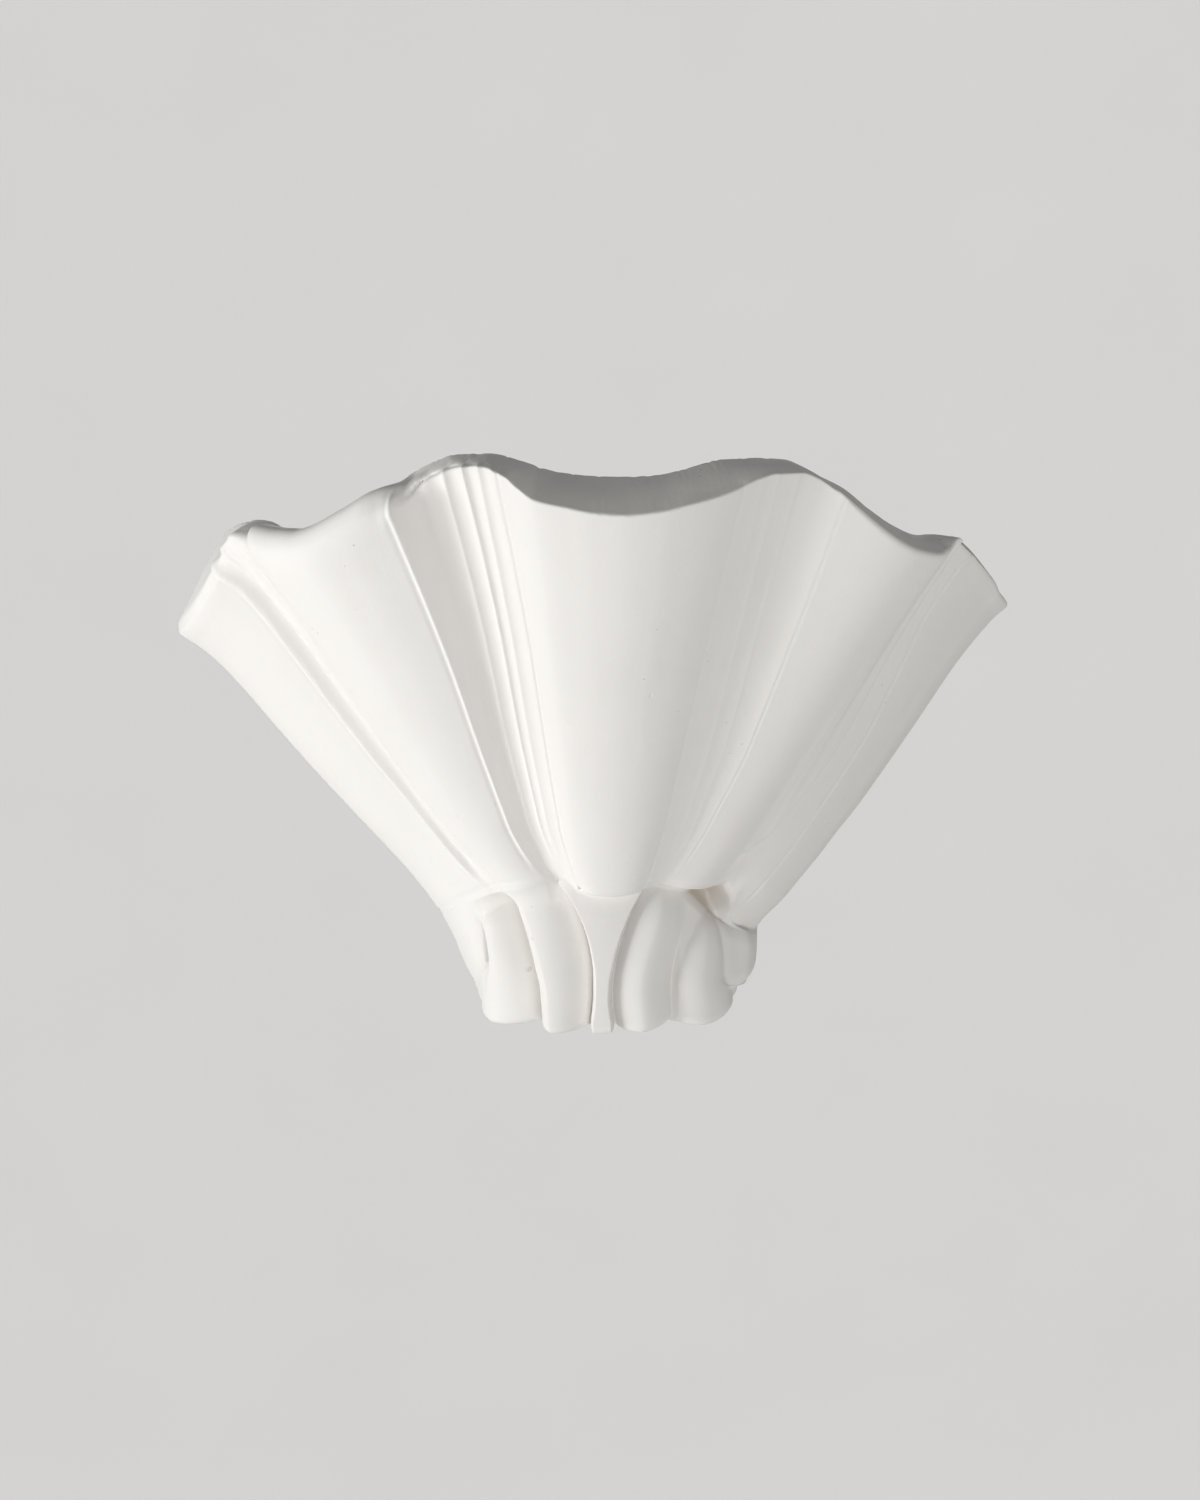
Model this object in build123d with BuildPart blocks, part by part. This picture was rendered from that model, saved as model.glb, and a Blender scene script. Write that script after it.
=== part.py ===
"""Shell wall sconce: a cast plaster uplighter that hangs on a steel bracket.

Units are millimetres. X runs along the wall to the viewer's right, the wall is
the plane Y = 0 with the room at negative Y, and Z is up. The origin lies on the
wall, midway between the bracket's two wall screws.
"""
from build123d import *
from math import atan2, cos, hypot, pi, radians, sin, sqrt, tan
import os

# ---------------------------------------------------------------- driving sizes

# Plaster shell, heights measured up from the flat underside of its base
rim_half_width = 175.0      # wall to rim tip, along the wall
rim_depth = 155.0           # wall to the front of the rim
base_drop = 120.5           # underside of the base below the wall screws
waist_half_width = 72.0     # lower edge of the panels, along the wall
waist_depth = 64.0          # lower edge of the panels, out from the wall
foot_half_width = 52.0      # underside of the base
foot_depth = 48.0
rim_thickness = 22.0        # measured square to the flared wall
wall_thickness = 17.0       # of the flared wall, measured level
wall_sag = 0.13             # how far the flare is hollow, share of its width
panel_crown = 3.0           # outward bulge of a panel
band_depth = 7.0            # how deep a fluted band lies at the rim
band_depth_low = 2.5        # and at the waist
overhang = 3.5              # panels stand this far out over the base
lobe_crown = 6.0            # outward bulge of each lobe of the base
cavity_floor = 38.5
cavity_floor_radius = 40.0
core_radius = 26.0
core_overlap = 6.0          # solid core and lofted ring run into each other
foot_bevel = 1.5            # worn edge all round the underside
lip_height = 5.0            # the base draws in under the panels from here
lobe_waist = 0.55           # height of the lobes' middle, share of the base

# Angles from straight ahead at which the shell changes form
centre_edge = 16.5
inner_band_edge = 32.0
side_panel_edge = 58.0
outer_band_edge = 66.0
wall_angle = 90.0
lobe_edges = (8.0, 33.0, 63.0, 90.0)

# Height of the rim's outer edge and of its inner edge, angle by angle
rim_outer = ((0, 220.5), (15.5, 230), (22, 236.5), (31, 225.5), (40, 208.5), (50, 201.5),
             (57, 206), (62, 200.5), (66, 194), (72, 182), (80, 174.5), (90, 170))
rim_inner = ((0, 234.5), (15.5, 240), (23, 243.5), (31, 236), (42, 220.5), (50, 212),
             (57, 211), (62, 211), (66, 209), (72, 202), (80, 191.5), (90, 177.5))
waist_heights = ((0, 63.5), (30, 62.5), (60, 54.5), (90, 42.5))

# Keystone of the base
keystone_top_width = 40.0
keystone_foot_width = 13.0
keystone_proud = 6.0
keystone_root = 14.0

# Steel bracket on the wall
strap_thickness = 2.0
strap_height = 24.0
strap_clearance = 9.0       # strap end to the plaster at full lift
standoff = 6.0              # the middle of the strap stands off the wall
middle_half_length = 44.0
joggle_run = 5.0
wall_screw_spacing = 116.0
wall_screw_hole = 5.0
tongue_width = 14.0
tongue_inset = 10.0         # strap end to the middle of the tongue
tongue_height = 11.0        # above the shelf
tongue_reach = 8.0          # front of the tongue from the wall

# Hanger plates cast into the shell
plate_thickness = 2.5
plate_depth = 22.0
plate_wall_gap = 0.8
plate_slot_clearance = 0.6
plate_inner_margin = 5.0
plate_embed = 13.0
plate_corner = 2.0
anchor_hole = 5.0

shell_lift = 13.0           # travel that clears the tongues

# Lamp arm and lamp holder
arm_width = 20.0
arm_thickness = 2.0
arm_drop = 15.0             # underside of the arm below the wall screws
arm_leg_top = 10.0
arm_bend = 2.5
arm_screw_heights = (-7.0, 5.0)
holder_radius = 13.5
holder_clearance = 3.0      # holder to the plaster at full lift
dome_neck_radius = 12.0
dome_radius = 13.0
dome_round = 4.0
dome_floor = 2.5
dome_shoulder = 11.0        # shoulder above the arm
dome_height = 17.0
carrier_seat = 12.0         # ledge that the carrier rests on, above the arm
carrier_radius = 10.1
carrier_height = 6.0
ledge_radius = 9.2
skirt_height = 41.0
skirt_bore = 11.6
screw_shell_bore = 7.2
screw_shell_wall = 0.4
screw_shell_height = 20.0
contact_strip = 0.5
contact_width = 4.0
contact_reach = 5.0
contact_button_radius = 1.9
contact_button_height = 1.7
side_contact_height = 9.0
contact_screw_offset = 5.2
nipple_radius = 4.95
nipple_bore = 3.5
nipple_above = 3.6
nipple_below = 4.5
nut_height = 3.0
nut_flats = 14.0

# Lamp
lamp_length = 78.0
globe_radius = 22.5
cap_radius = 6.94
cap_height = 19.0
tip_radius = 2.4
tip_height = 1.3
insulator_height = 1.2
glass_wall = 1.0
neck_radius = 6.4
shoulder_angle = 52.0       # where the globe runs into its neck, below level
glass_in_cap = 5.0
stem_height = 16.0          # above the cap
filament_length = 27.0
filament_lean = 6.0
filament_radius = 0.9
filament_ring = 2.2
support_radius = 0.6
filament_angles = (45, 135, 225, 315)

# Mains connection
block_length = 28.0
block_depth = 14.0
block_height = 16.0
block_centre = 27.0
pole_pitch = 9.0
tube_radius = 2.6
tube_bore = 1.5
tube_length = 13.0
tube_screw_heights = (-3.6, 3.6)
wire_radius = 1.0
wire_pair = 1.3             # each lead from the nipple's axis
wire_grip = 3.0             # length of a lead inside its tube
grommet_x = -32.0
grommet_bore = 4.0
grommet_hole = 5.5
grommet_flange = 7.5
grommet_lip = 1.8
earth_x = -17.0
washer_height = 0.8
lug_height = 0.8
lug_width = 3.0
lug_drop = 7.0
barrel_wall = 0.7
barrel_length = 6.0

# Screws: (shank radius, head radius, head height)
m3 = (1.5, 2.7, 1.8)
m4 = (2.0, 3.8, 2.5)
tube_screw = (1.3, 1.9, 2.0)
m4_nut_flats = 7.0
m4_nut_height = 3.0
slot_width = 1.0
slot_depth = 1.0

# Clearances
snug = 0.05                 # a shank in its hole, on the radius
seat_gap = 0.1              # loose pieces resting on each other
bolt_gap = 0.25             # a screw in a clearance hole, on the radius

os.makedirs("parts", exist_ok=True)


# ---------------------------------------------------------------- shell formula

def blend(stations, angle):
    """Height at an angle, eased between the stations (angle, height)."""
    turn = abs(angle)
    for (a0, h0), (a1, h1) in zip(stations, stations[1:]):
        if turn <= a1:
            share = (turn - a0) / (a1 - a0)
            ease = share * share * (3 - 2 * share)
            return h0 + (h1 - h0) * (0.5 * ease + 0.5 * share)
    return stations[-1][1]


def oval(half_width, depth, angle):
    """Radius of a half oval, seen from above, at an angle from straight ahead."""
    turn = radians(angle)
    return 1 / hypot(sin(turn) / half_width, cos(turn) / depth)


def arch(angle, low, high):
    """Zero at both edges of a strip and one at its middle."""
    share = (abs(angle) - low) / (high - low)
    return sin(pi * share) if 0 < share < 1 else 0.0


def relief(angle, rise):
    """How far the outer face stands out of the plain flare, rise from 0 to 1."""
    depth = band_depth_low + (band_depth - band_depth_low) * rise
    turn = abs(angle)
    if turn < centre_edge:
        return panel_crown * cos(pi / 2 * turn / centre_edge)
    if turn < inner_band_edge:
        return -depth * sqrt(arch(angle, centre_edge, inner_band_edge))
    if turn < side_panel_edge:
        return panel_crown * arch(angle, inner_band_edge, side_panel_edge)
    if turn < outer_band_edge:
        return -0.7 * depth * sqrt(arch(angle, side_panel_edge, outer_band_edge))
    return panel_crown * sin(pi / 2 * (turn - outer_band_edge) / (wall_angle - outer_band_edge))


def outer_radius(angle, rise):
    """Plain flare of the outer face, before the relief."""
    low = oval(waist_half_width, waist_depth, angle) - panel_crown
    high = oval(rim_half_width, rim_depth, angle) - panel_crown
    return low + (high - low) * (rise - wall_sag * rise * (1 - rise))


def inner_radius(angle, rise):
    """Smooth inner face, level with the outer one at the same rise."""
    low = oval(waist_half_width, waist_depth, angle) - wall_thickness
    high = oval(rim_half_width, rim_depth, angle) - rim_thickness * cos(flare(angle))
    return low + (high - low) * (rise - wall_sag * rise * (1 - rise))


def flare(angle):
    """Angle of the wall from upright, in radians."""
    out = oval(rim_half_width, rim_depth, angle) - oval(waist_half_width, waist_depth, angle)
    return atan2(out, blend(rim_outer, angle) - blend(waist_heights, angle))


def cavity_radius(angle, height):
    """Inner face of the shell at a height above the underside of its base."""
    low = blend(waist_heights, angle)
    rise = (height - low) / (blend(rim_inner, angle) - low)
    return inner_radius(angle, rise)


def lobe_relief(angle):
    """Outward bulge of the lobes of the base."""
    return lobe_crown * max(arch(angle, low, high) for low, high in zip(lobe_edges, lobe_edges[1:]))


def shell_profile(angle):
    """Closed outline of the plaster in the upright plane at an angle: (radius, height)."""
    waist = blend(waist_heights, angle)
    top = blend(rim_outer, angle)
    foot = oval(foot_half_width, foot_depth, angle) + lobe_relief(angle)
    neck = oval(waist_half_width, waist_depth, angle) - overhang - panel_crown
    ring = core_radius - core_overlap
    points = [(ring, 0), (foot - foot_bevel, 0), (foot, foot_bevel)]
    points.append(((foot + neck) / 2 + lobe_relief(angle) / 2, waist * lobe_waist))
    points.append((neck + lobe_relief(angle) / 2, waist - lip_height))
    points.append((neck, waist - lip_height / 5))
    for rise in (0.0, 0.2, 0.4, 0.6, 0.8, 0.94, 1.0):
        radius = outer_radius(angle, rise) + relief(angle, rise)
        points.append((radius, waist + (top - waist) * rise))
    inner_top = blend(rim_inner, angle)
    for rise in (1.0, 0.75, 0.5, 0.25):
        points.append((inner_radius(angle, rise), waist + (inner_top - waist) * rise))
    points.append((inner_radius(angle, 0), waist))
    points.append((cavity_floor_radius, cavity_floor))
    points.append((ring, cavity_floor))
    return points


# Heights above the base become heights about the wall screws
def lift_to_row(height):
    return height - base_drop


# The strap's ends and the lamp's axis follow the cavity at full lift
strap_end = (cavity_radius(wall_angle, base_drop - strap_height / 2 - shell_lift)
             - strap_clearance)
tongue_x = strap_end - tongue_inset
lamp_out = (cavity_radius(0, base_drop - arm_drop + arm_thickness - shell_lift)
            - holder_radius - holder_clearance)
shelf_top = strap_height / 2 + strap_thickness


# ---------------------------------------------------------------- plaster shell

def radial_plane(angle):
    """Upright plane through the vertical axis, at an angle from straight ahead."""
    turn = radians(angle)
    return Plane(origin=(0, 0, -base_drop), x_dir=(sin(turn), -cos(turn), 0),
                 z_dir=(-cos(turn), -sin(turn), 0))


def section_angles():
    """Angles of the loft's sections: the edges of the strips and steps between them."""
    edges = (0, centre_edge, inner_band_edge, side_panel_edge, outer_band_edge, wall_angle)
    turns = [0.0]
    for low, high in zip(edges, edges[1:]):
        turns += [low + (high - low) * share for share in (0.12, 0.5, 0.88, 1.0)]
    return [-turn for turn in reversed(turns[1:])] + turns


def level_plane(height):
    return Plane.XY.offset(height)


# Plates first, because the plaster is cast around them
plate_outer = cavity_radius(wall_angle, base_drop + shelf_top) + plate_embed
plate_inner = tongue_x - tongue_width / 2 - plate_inner_margin
plate_middle = (plate_outer + plate_inner) / 2
plate_y = -plate_wall_gap - plate_depth / 2
slot_y = -(tongue_reach - strap_thickness / 2)


def hanger_plate(side):
    """Level steel plate with the slot that drops over a tongue of the bracket."""
    with BuildPart() as plate:
        with BuildSketch(level_plane(shelf_top)):
            with Locations((side * plate_middle, plate_y)):
                RectangleRounded(plate_outer - plate_inner, plate_depth, plate_corner)
            with Locations((side * tongue_x, slot_y)):
                Rectangle(tongue_width + 4 * plate_slot_clearance,
                          strap_thickness + 2 * plate_slot_clearance, mode=Mode.SUBTRACT)
            with Locations((side * (plate_outer - plate_embed / 2), plate_y)):
                Circle(anchor_hole / 2, mode=Mode.SUBTRACT)
        extrude(amount=plate_thickness)
    return plate


hanger_plate_left = hanger_plate(-1)
hanger_plate_right = hanger_plate(1)

with BuildPart() as plaster_shell:
    for section_angle in section_angles():
        with BuildSketch(radial_plane(section_angle)):
            with BuildLine():
                Polyline(shell_profile(section_angle), close=True)
            make_face()
    loft(ruled=True)
    with BuildSketch(level_plane(-base_drop)):
        Circle(core_radius)
        with Locations((0, core_radius)):
            Rectangle(2 * core_radius, 2 * core_radius, mode=Mode.SUBTRACT)
    extrude(amount=cavity_floor)
    keystone_face = foot_depth + keystone_proud
    with BuildSketch(level_plane(-base_drop)):
        with Locations((0, keystone_root - keystone_face)):
            Rectangle(keystone_foot_width, keystone_root, align=(Align.CENTER, Align.MAX))
    with BuildSketch(level_plane(blend(waist_heights, 0) - base_drop)):
        with Locations((0, keystone_root - waist_depth + panel_crown)):
            Rectangle(keystone_top_width, keystone_root, align=(Align.CENTER, Align.MAX))
    loft()
    add(hanger_plate_left.part, mode=Mode.SUBTRACT)
    add(hanger_plate_right.part, mode=Mode.SUBTRACT)


# ---------------------------------------------------------------- wall bracket

def strap_outline():
    """Top-hat strap seen from above: the wall side, then the front side back again."""
    slope = atan2(standoff, joggle_run)
    miter = strap_thickness * tan(slope / 2)
    foot_x = middle_half_length + joggle_run
    wall_side = [(-strap_end, 0), (-foot_x, 0), (-middle_half_length, -standoff)]
    front = [(-strap_end, -strap_thickness), (-foot_x - miter, -strap_thickness),
             (-middle_half_length - miter, -standoff - strap_thickness)]
    wall_side += [(-x, y) for x, y in reversed(wall_side)]
    front += [(-x, y) for x, y in reversed(front)]
    return wall_side + front[::-1]


def tongue_outline():
    """Tongue seen from the side: up the strap, out over the shelf and up again."""
    low = strap_height / 2 - strap_thickness
    back = -tongue_reach + strap_thickness
    return [(0, low), (0, shelf_top), (back, shelf_top), (back, shelf_top + tongue_height),
            (-tongue_reach, shelf_top + tongue_height), (-tongue_reach, strap_height / 2),
            (-strap_thickness, strap_height / 2), (-strap_thickness, low)]


strap_front = -standoff - strap_thickness

with BuildPart() as wall_bracket:
    with BuildSketch(level_plane(-strap_height / 2)):
        with BuildLine():
            Polyline(strap_outline(), close=True)
        make_face()
    extrude(amount=strap_height)
    for side in (-1, 1):
        with BuildSketch(Plane.YZ.offset(side * tongue_x - tongue_width / 2)):
            with BuildLine():
                Polyline(tongue_outline(), close=True)
            make_face()
        extrude(amount=tongue_width)
    wall_holes = Plane((0, 0, 0), x_dir=(1, 0, 0), z_dir=(0, -1, 0))
    with BuildSketch(wall_holes):
        with GridLocations(wall_screw_spacing, 1, 2, 1):
            Circle(wall_screw_hole / 2)
        with Locations((grommet_x, 0)):
            Circle(grommet_hole)
        with Locations((earth_x, 0), (block_centre - pole_pitch / 2, 0)):
            Circle(m3[0] + snug)
        with Locations(*[(0, height) for height in arm_screw_heights]):
            Circle(m4[0] + bolt_gap)
    extrude(amount=standoff + 2 * strap_thickness, mode=Mode.SUBTRACT)


# ---------------------------------------------------------------- screws and nuts

def front_screw(x, z, head_y, shank_length, sizes):
    """Pan-head screw pointing at the wall, its head's underside at head_y."""
    shank_radius, head_radius, head_height = sizes
    face = Plane((x, head_y, z), x_dir=(1, 0, 0), z_dir=(0, -1, 0))
    with BuildPart() as screw:
        with BuildSketch(face):
            Circle(head_radius)
        extrude(amount=head_height)
        fillet(screw.edges().group_by(Axis.Y)[0], 0.35 * head_height)
        with BuildSketch(face):
            Circle(shank_radius)
        extrude(amount=-shank_length)
        with BuildSketch(face.offset(head_height)):
            Rectangle(2 * head_radius, slot_width)
        extrude(amount=-slot_depth, mode=Mode.SUBTRACT)
    return screw.part


def hexagon_nut(plane, flats, hole_radius, height):
    """Chamfered hexagon nut standing on a plane."""
    with BuildPart() as nut:
        with BuildSketch(plane):
            RegularPolygon(flats / 2, 6, major_radius=False)
            Circle(hole_radius, mode=Mode.SUBTRACT)
        extrude(amount=height)
    return nut.part


# ---------------------------------------------------------------- lamp arm

arm_back = strap_front
arm_front = arm_back - arm_thickness
arm_top = -arm_drop + arm_thickness
arm_tip = -lamp_out

with BuildPart() as lamp_arm:
    with BuildSketch(Plane.YZ.offset(-arm_width / 2)):
        with BuildLine():
            Polyline((arm_back, arm_leg_top), (arm_back, -arm_drop), (arm_tip, -arm_drop),
                     (arm_tip, arm_top), (arm_front, arm_top), (arm_front, arm_leg_top),
                     close=True)
        make_face()
    extrude(amount=arm_width)
    fillet(lamp_arm.edges().filter_by(Axis.X).group_by(Axis.Z)[0].sort_by(Axis.Y)[-1], arm_bend)
    with BuildSketch(level_plane(-arm_drop)):
        with Locations((0, arm_tip)):
            Circle(arm_width / 2)
    extrude(amount=arm_thickness)
    with Locations((0, arm_tip, arm_top)):
        Hole(nipple_radius + snug)
    arm_face = Plane((0, arm_front, 0), x_dir=(1, 0, 0), z_dir=(0, -1, 0))
    with BuildSketch(arm_face):
        with Locations(*[(0, height) for height in arm_screw_heights]):
            Circle(m4[0] + bolt_gap)
    extrude(amount=-2 * arm_thickness, mode=Mode.SUBTRACT)

arm_screw_length = arm_thickness + strap_thickness + m4_nut_height + 0.5

with BuildPart() as arm_screws:
    for height in arm_screw_heights:
        add(front_screw(0, height, arm_front, arm_screw_length, m4))

with BuildPart() as arm_nuts:
    for height in arm_screw_heights:
        nut_face = Plane((0, -standoff, height), x_dir=(1, 0, 0), z_dir=(0, 1, 0))
        add(hexagon_nut(nut_face, m4_nut_flats, m4[0] + snug, m4_nut_height))


# ---------------------------------------------------------------- lamp holder

def turned(profile):
    """Solid of revolution about the lamp's axis from points (radius, height)."""
    with BuildPart() as solid:
        with BuildSketch(Plane.XZ.offset(lamp_out)):
            with BuildLine():
                Polyline(profile, close=True)
            make_face()
        revolve(axis=Axis((0, -lamp_out, 0), (0, 0, 1)))
    return solid


seat_z = arm_top + carrier_seat
carrier_top = seat_z + carrier_height
dome_top = arm_top + dome_height
shoulder_z = arm_top + dome_shoulder
skirt_top = shoulder_z + skirt_height

holder_nipple = turned([(nipple_bore, -arm_drop - nipple_below),
                        (nipple_radius, -arm_drop - nipple_below),
                        (nipple_radius, arm_top + nipple_above),
                        (nipple_bore, arm_top + nipple_above)])

with BuildPart() as holder_nut:
    add(hexagon_nut(Plane((0, -lamp_out, -arm_drop - nut_height)), nut_flats,
                    nipple_radius + snug, nut_height))

holder_dome = turned([(nipple_radius + snug, arm_top), (dome_radius - dome_round, arm_top),
                      (dome_radius, arm_top + dome_round), (dome_radius, shoulder_z),
                      (dome_neck_radius, shoulder_z), (dome_neck_radius, dome_top),
                      (carrier_radius + snug, dome_top), (carrier_radius + snug, seat_z),
                      (ledge_radius, seat_z), (ledge_radius, arm_top + dome_floor + 2),
                      (ledge_radius - 2, arm_top + dome_floor),
                      (nipple_radius + snug, arm_top + dome_floor)])

holder_skirt = turned([(dome_neck_radius + snug, shoulder_z), (holder_radius, shoulder_z),
                       (holder_radius, skirt_top - 1.5), (holder_radius - 1, skirt_top),
                       (skirt_bore, skirt_top), (skirt_bore, dome_top + 1),
                       (dome_neck_radius + snug, dome_top + 1)])

with BuildPart() as holder_carrier:
    with BuildSketch(Plane((0, -lamp_out, seat_z))):
        Circle(carrier_radius)
        with GridLocations(2 * contact_screw_offset, 1, 2, 1):
            Circle(m3[0] + snug, mode=Mode.SUBTRACT)
    extrude(amount=carrier_height)
    fillet(holder_carrier.edges().group_by(Axis.Z)[-1].sort_by(Edge.length)[-1], 0.8)

screw_shell_outer = screw_shell_bore + screw_shell_wall
holder_screw_shell = turned([(screw_shell_bore, carrier_top), (screw_shell_outer, carrier_top),
                             (screw_shell_outer, carrier_top + screw_shell_height),
                             (screw_shell_outer + 1.2, carrier_top + screw_shell_height + 1),
                             (screw_shell_outer + 0.8, carrier_top + screw_shell_height + 1.3),
                             (screw_shell_bore, carrier_top + screw_shell_height + 0.4)])

button_top = carrier_top + contact_strip + contact_button_height
with BuildPart() as centre_contact:
    with BuildSketch(Plane((0, -lamp_out, carrier_top))):
        SlotCenterToCenter(contact_reach, contact_width)
    extrude(amount=contact_strip)
    with BuildSketch(Plane((0, -lamp_out, carrier_top + contact_strip))):
        Circle(contact_button_radius)
    extrude(amount=contact_button_height)

side_strip_x = -screw_shell_outer - contact_strip / 2
with BuildPart() as side_contact:
    with BuildSketch(Plane((0, -lamp_out, carrier_top))):
        with Locations((side_strip_x, 0)):
            Rectangle(contact_strip, contact_width)
    extrude(amount=side_contact_height)

with BuildPart() as contact_screws:
    for side in (-1, 1):
        with BuildSketch(Plane((side * contact_screw_offset, -lamp_out, seat_z))):
            Circle(m3[1])
        extrude(amount=-m3[2])
        with BuildSketch(Plane((side * contact_screw_offset, -lamp_out, seat_z - m3[2]))):
            Rectangle(2 * m3[1], slot_width)
        extrude(amount=slot_depth / 2, mode=Mode.SUBTRACT)
        with BuildSketch(Plane((side * contact_screw_offset, -lamp_out, seat_z))):
            Circle(m3[0])
        extrude(amount=carrier_height - 1)


# ---------------------------------------------------------------- lamp

tip_z = button_top + seat_gap
cap_foot = tip_z + tip_height + insulator_height
cap_top = cap_foot + cap_height
globe_top = tip_z + lamp_length
globe_z = globe_top - globe_radius
stem_top = cap_top + stem_height

lamp_tip_contact = turned([(0, tip_z), (tip_radius - 0.6, tip_z), (tip_radius, tip_z + tip_height),
                           (0, tip_z + tip_height)])
lamp_insulator = turned([(0, tip_z + tip_height), (tip_radius + 0.8, tip_z + tip_height),
                         (cap_radius - 0.6, cap_foot), (0, cap_foot)])
lamp_cap = turned([(0, cap_foot), (cap_radius - 0.5, cap_foot), (cap_radius, cap_foot + 1),
                   (cap_radius, cap_top - 1.5), (cap_radius + 0.4, cap_top),
                   (neck_radius + snug, cap_top), (neck_radius + snug, cap_foot + 1.5),
                   (0, cap_foot + 1.5)])

glass_foot = cap_top - glass_in_cap
with BuildPart() as lamp_envelope:
    for inset, mode in ((0.0, Mode.ADD), (glass_wall, Mode.SUBTRACT)):
        ball = globe_radius - inset
        neck = neck_radius - inset
        join = (ball * cos(radians(-shoulder_angle)), globe_z - ball * sin(radians(shoulder_angle)))
        with BuildSketch(Plane.XZ.offset(lamp_out)):
            with BuildLine():
                Line((0, glass_foot), (neck, glass_foot))
                Line((neck, glass_foot), (neck, cap_top))
                Spline((neck, cap_top), join, tangents=((0, 1), (sin(radians(shoulder_angle)),
                                                                 cos(radians(shoulder_angle)))))
                CenterArc((0, globe_z), ball, -shoulder_angle, 90 + shoulder_angle)
                Line((0, globe_z + ball), (0, glass_foot))
            make_face()
        revolve(axis=Axis((0, -lamp_out, 0), (0, 0, 1)), mode=mode)

lamp_stem = turned([(0, cap_foot + 1.5), (neck_radius - glass_wall - 0.3, cap_foot + 1.5),
                    (neck_radius - glass_wall - 0.3, cap_top - 6), (2.5, cap_top + 3),
                    (filament_ring + filament_radius + 0.3, stem_top), (0, stem_top)])

filament_top = stem_top + filament_length


def filament(angle):
    """One light stick, leaning outwards from the stem."""
    turn = radians(angle)
    foot = Vector(filament_ring * cos(turn), filament_ring * sin(turn) - lamp_out, stem_top)
    lean = Vector(filament_lean * cos(turn), filament_lean * sin(turn), filament_length)
    with BuildPart() as stick:
        with BuildSketch(Plane(origin=foot + lean.normalized() * 0.6, z_dir=lean)):
            Circle(filament_radius)
        extrude(amount=lean.length - 1.0)
    return stick.part


with BuildPart() as lamp_filaments:
    for filament_angle in filament_angles:
        add(filament(filament_angle))

with BuildPart() as lamp_support:
    with BuildSketch(Plane((0, -lamp_out, stem_top))):
        Circle(support_radius)
    extrude(amount=filament_length + 1.5)
    for cross_angle in (45, 135):
        cross = Plane((0, -lamp_out, filament_top + 0.9), x_dir=(cos(radians(cross_angle)),
                                                                 sin(radians(cross_angle)), 0),
                      z_dir=(0, 0, 1))
        with BuildSketch(cross):
            Rectangle(2 * (filament_ring + filament_lean + filament_radius), 2 * support_radius)
        extrude(amount=support_radius)


# ---------------------------------------------------------------- mains connection

block_face = strap_front
block_front = block_face - block_depth
tube_y = block_face - block_depth / 2
poles = [block_centre + step * pole_pitch for step in (-1, 0, 1)]
block_screw_x = block_centre - pole_pitch / 2

with BuildPart() as terminal_block:
    with BuildSketch(level_plane(-block_height / 2)):
        with Locations((block_centre, tube_y)):
            RectangleRounded(block_length, block_depth, 1.5)
            with GridLocations(pole_pitch, 1, 3, 1):
                Circle(tube_radius + snug, mode=Mode.SUBTRACT)
    extrude(amount=block_height)
    front_plane = Plane((0, block_front, 0), x_dir=(1, 0, 0), z_dir=(0, -1, 0))
    with BuildSketch(front_plane):
        for pole in poles:
            with Locations(*[(pole, height) for height in tube_screw_heights]):
                Circle(tube_screw[1] + 0.2)
    extrude(amount=-(block_depth / 2), mode=Mode.SUBTRACT)
    with BuildSketch(front_plane):
        with Locations((block_screw_x, 0)):
            Circle(m3[0] + bolt_gap)
    extrude(amount=-block_depth, mode=Mode.SUBTRACT)

with BuildPart() as terminal_tubes:
    for pole in poles:
        with BuildSketch(Plane((pole, tube_y, -tube_length / 2))):
            Circle(tube_radius)
            Circle(tube_bore, mode=Mode.SUBTRACT)
        extrude(amount=tube_length)
        with BuildSketch(Plane((pole, tube_y, 0), x_dir=(1, 0, 0), z_dir=(0, -1, 0))):
            with Locations(*[(0, height) for height in tube_screw_heights]):
                Circle(tube_screw[0] + snug)
        extrude(amount=tube_radius + 1, mode=Mode.SUBTRACT)

tube_screw_seat = tube_y - tube_radius - 0.3
with BuildPart() as terminal_screws:
    for pole in poles:
        for height in tube_screw_heights:
            add(front_screw(pole, height, tube_screw_seat, tube_radius + 0.3 - wire_radius - 0.1,
                            tube_screw))

with BuildPart() as block_screw:
    add(front_screw(block_screw_x, 0, block_front, block_depth + strap_thickness + 1, m3))

lug_radius = m3[1] + 1
with BuildPart() as earth_washer:
    with BuildSketch(Plane((earth_x, strap_front, 0), x_dir=(1, 0, 0), z_dir=(0, -1, 0))):
        Circle(lug_radius)
        Circle(m3[0] + snug, mode=Mode.SUBTRACT)
    extrude(amount=washer_height)

lug_back = strap_front - washer_height
lug_front = lug_back - lug_height
barrel_radius = wire_radius + barrel_wall
barrel_y = lug_back - barrel_radius
with BuildPart() as earth_ring:
    with BuildSketch(Plane((earth_x, lug_back, 0), x_dir=(1, 0, 0), z_dir=(0, -1, 0))):
        Circle(lug_radius)
        with Locations((0, -lug_drop / 2)):
            Rectangle(lug_width, lug_drop)
        Circle(m3[0] + snug, mode=Mode.SUBTRACT)
    extrude(amount=lug_height)
    with BuildSketch(Plane((earth_x, barrel_y, -lug_drop))):
        Circle(barrel_radius)
    extrude(amount=-barrel_length)
    with BuildSketch(Plane((earth_x, barrel_y, -lug_drop - 1))):
        Circle(wire_radius + snug)
    extrude(amount=-barrel_length, mode=Mode.SUBTRACT)

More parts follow.
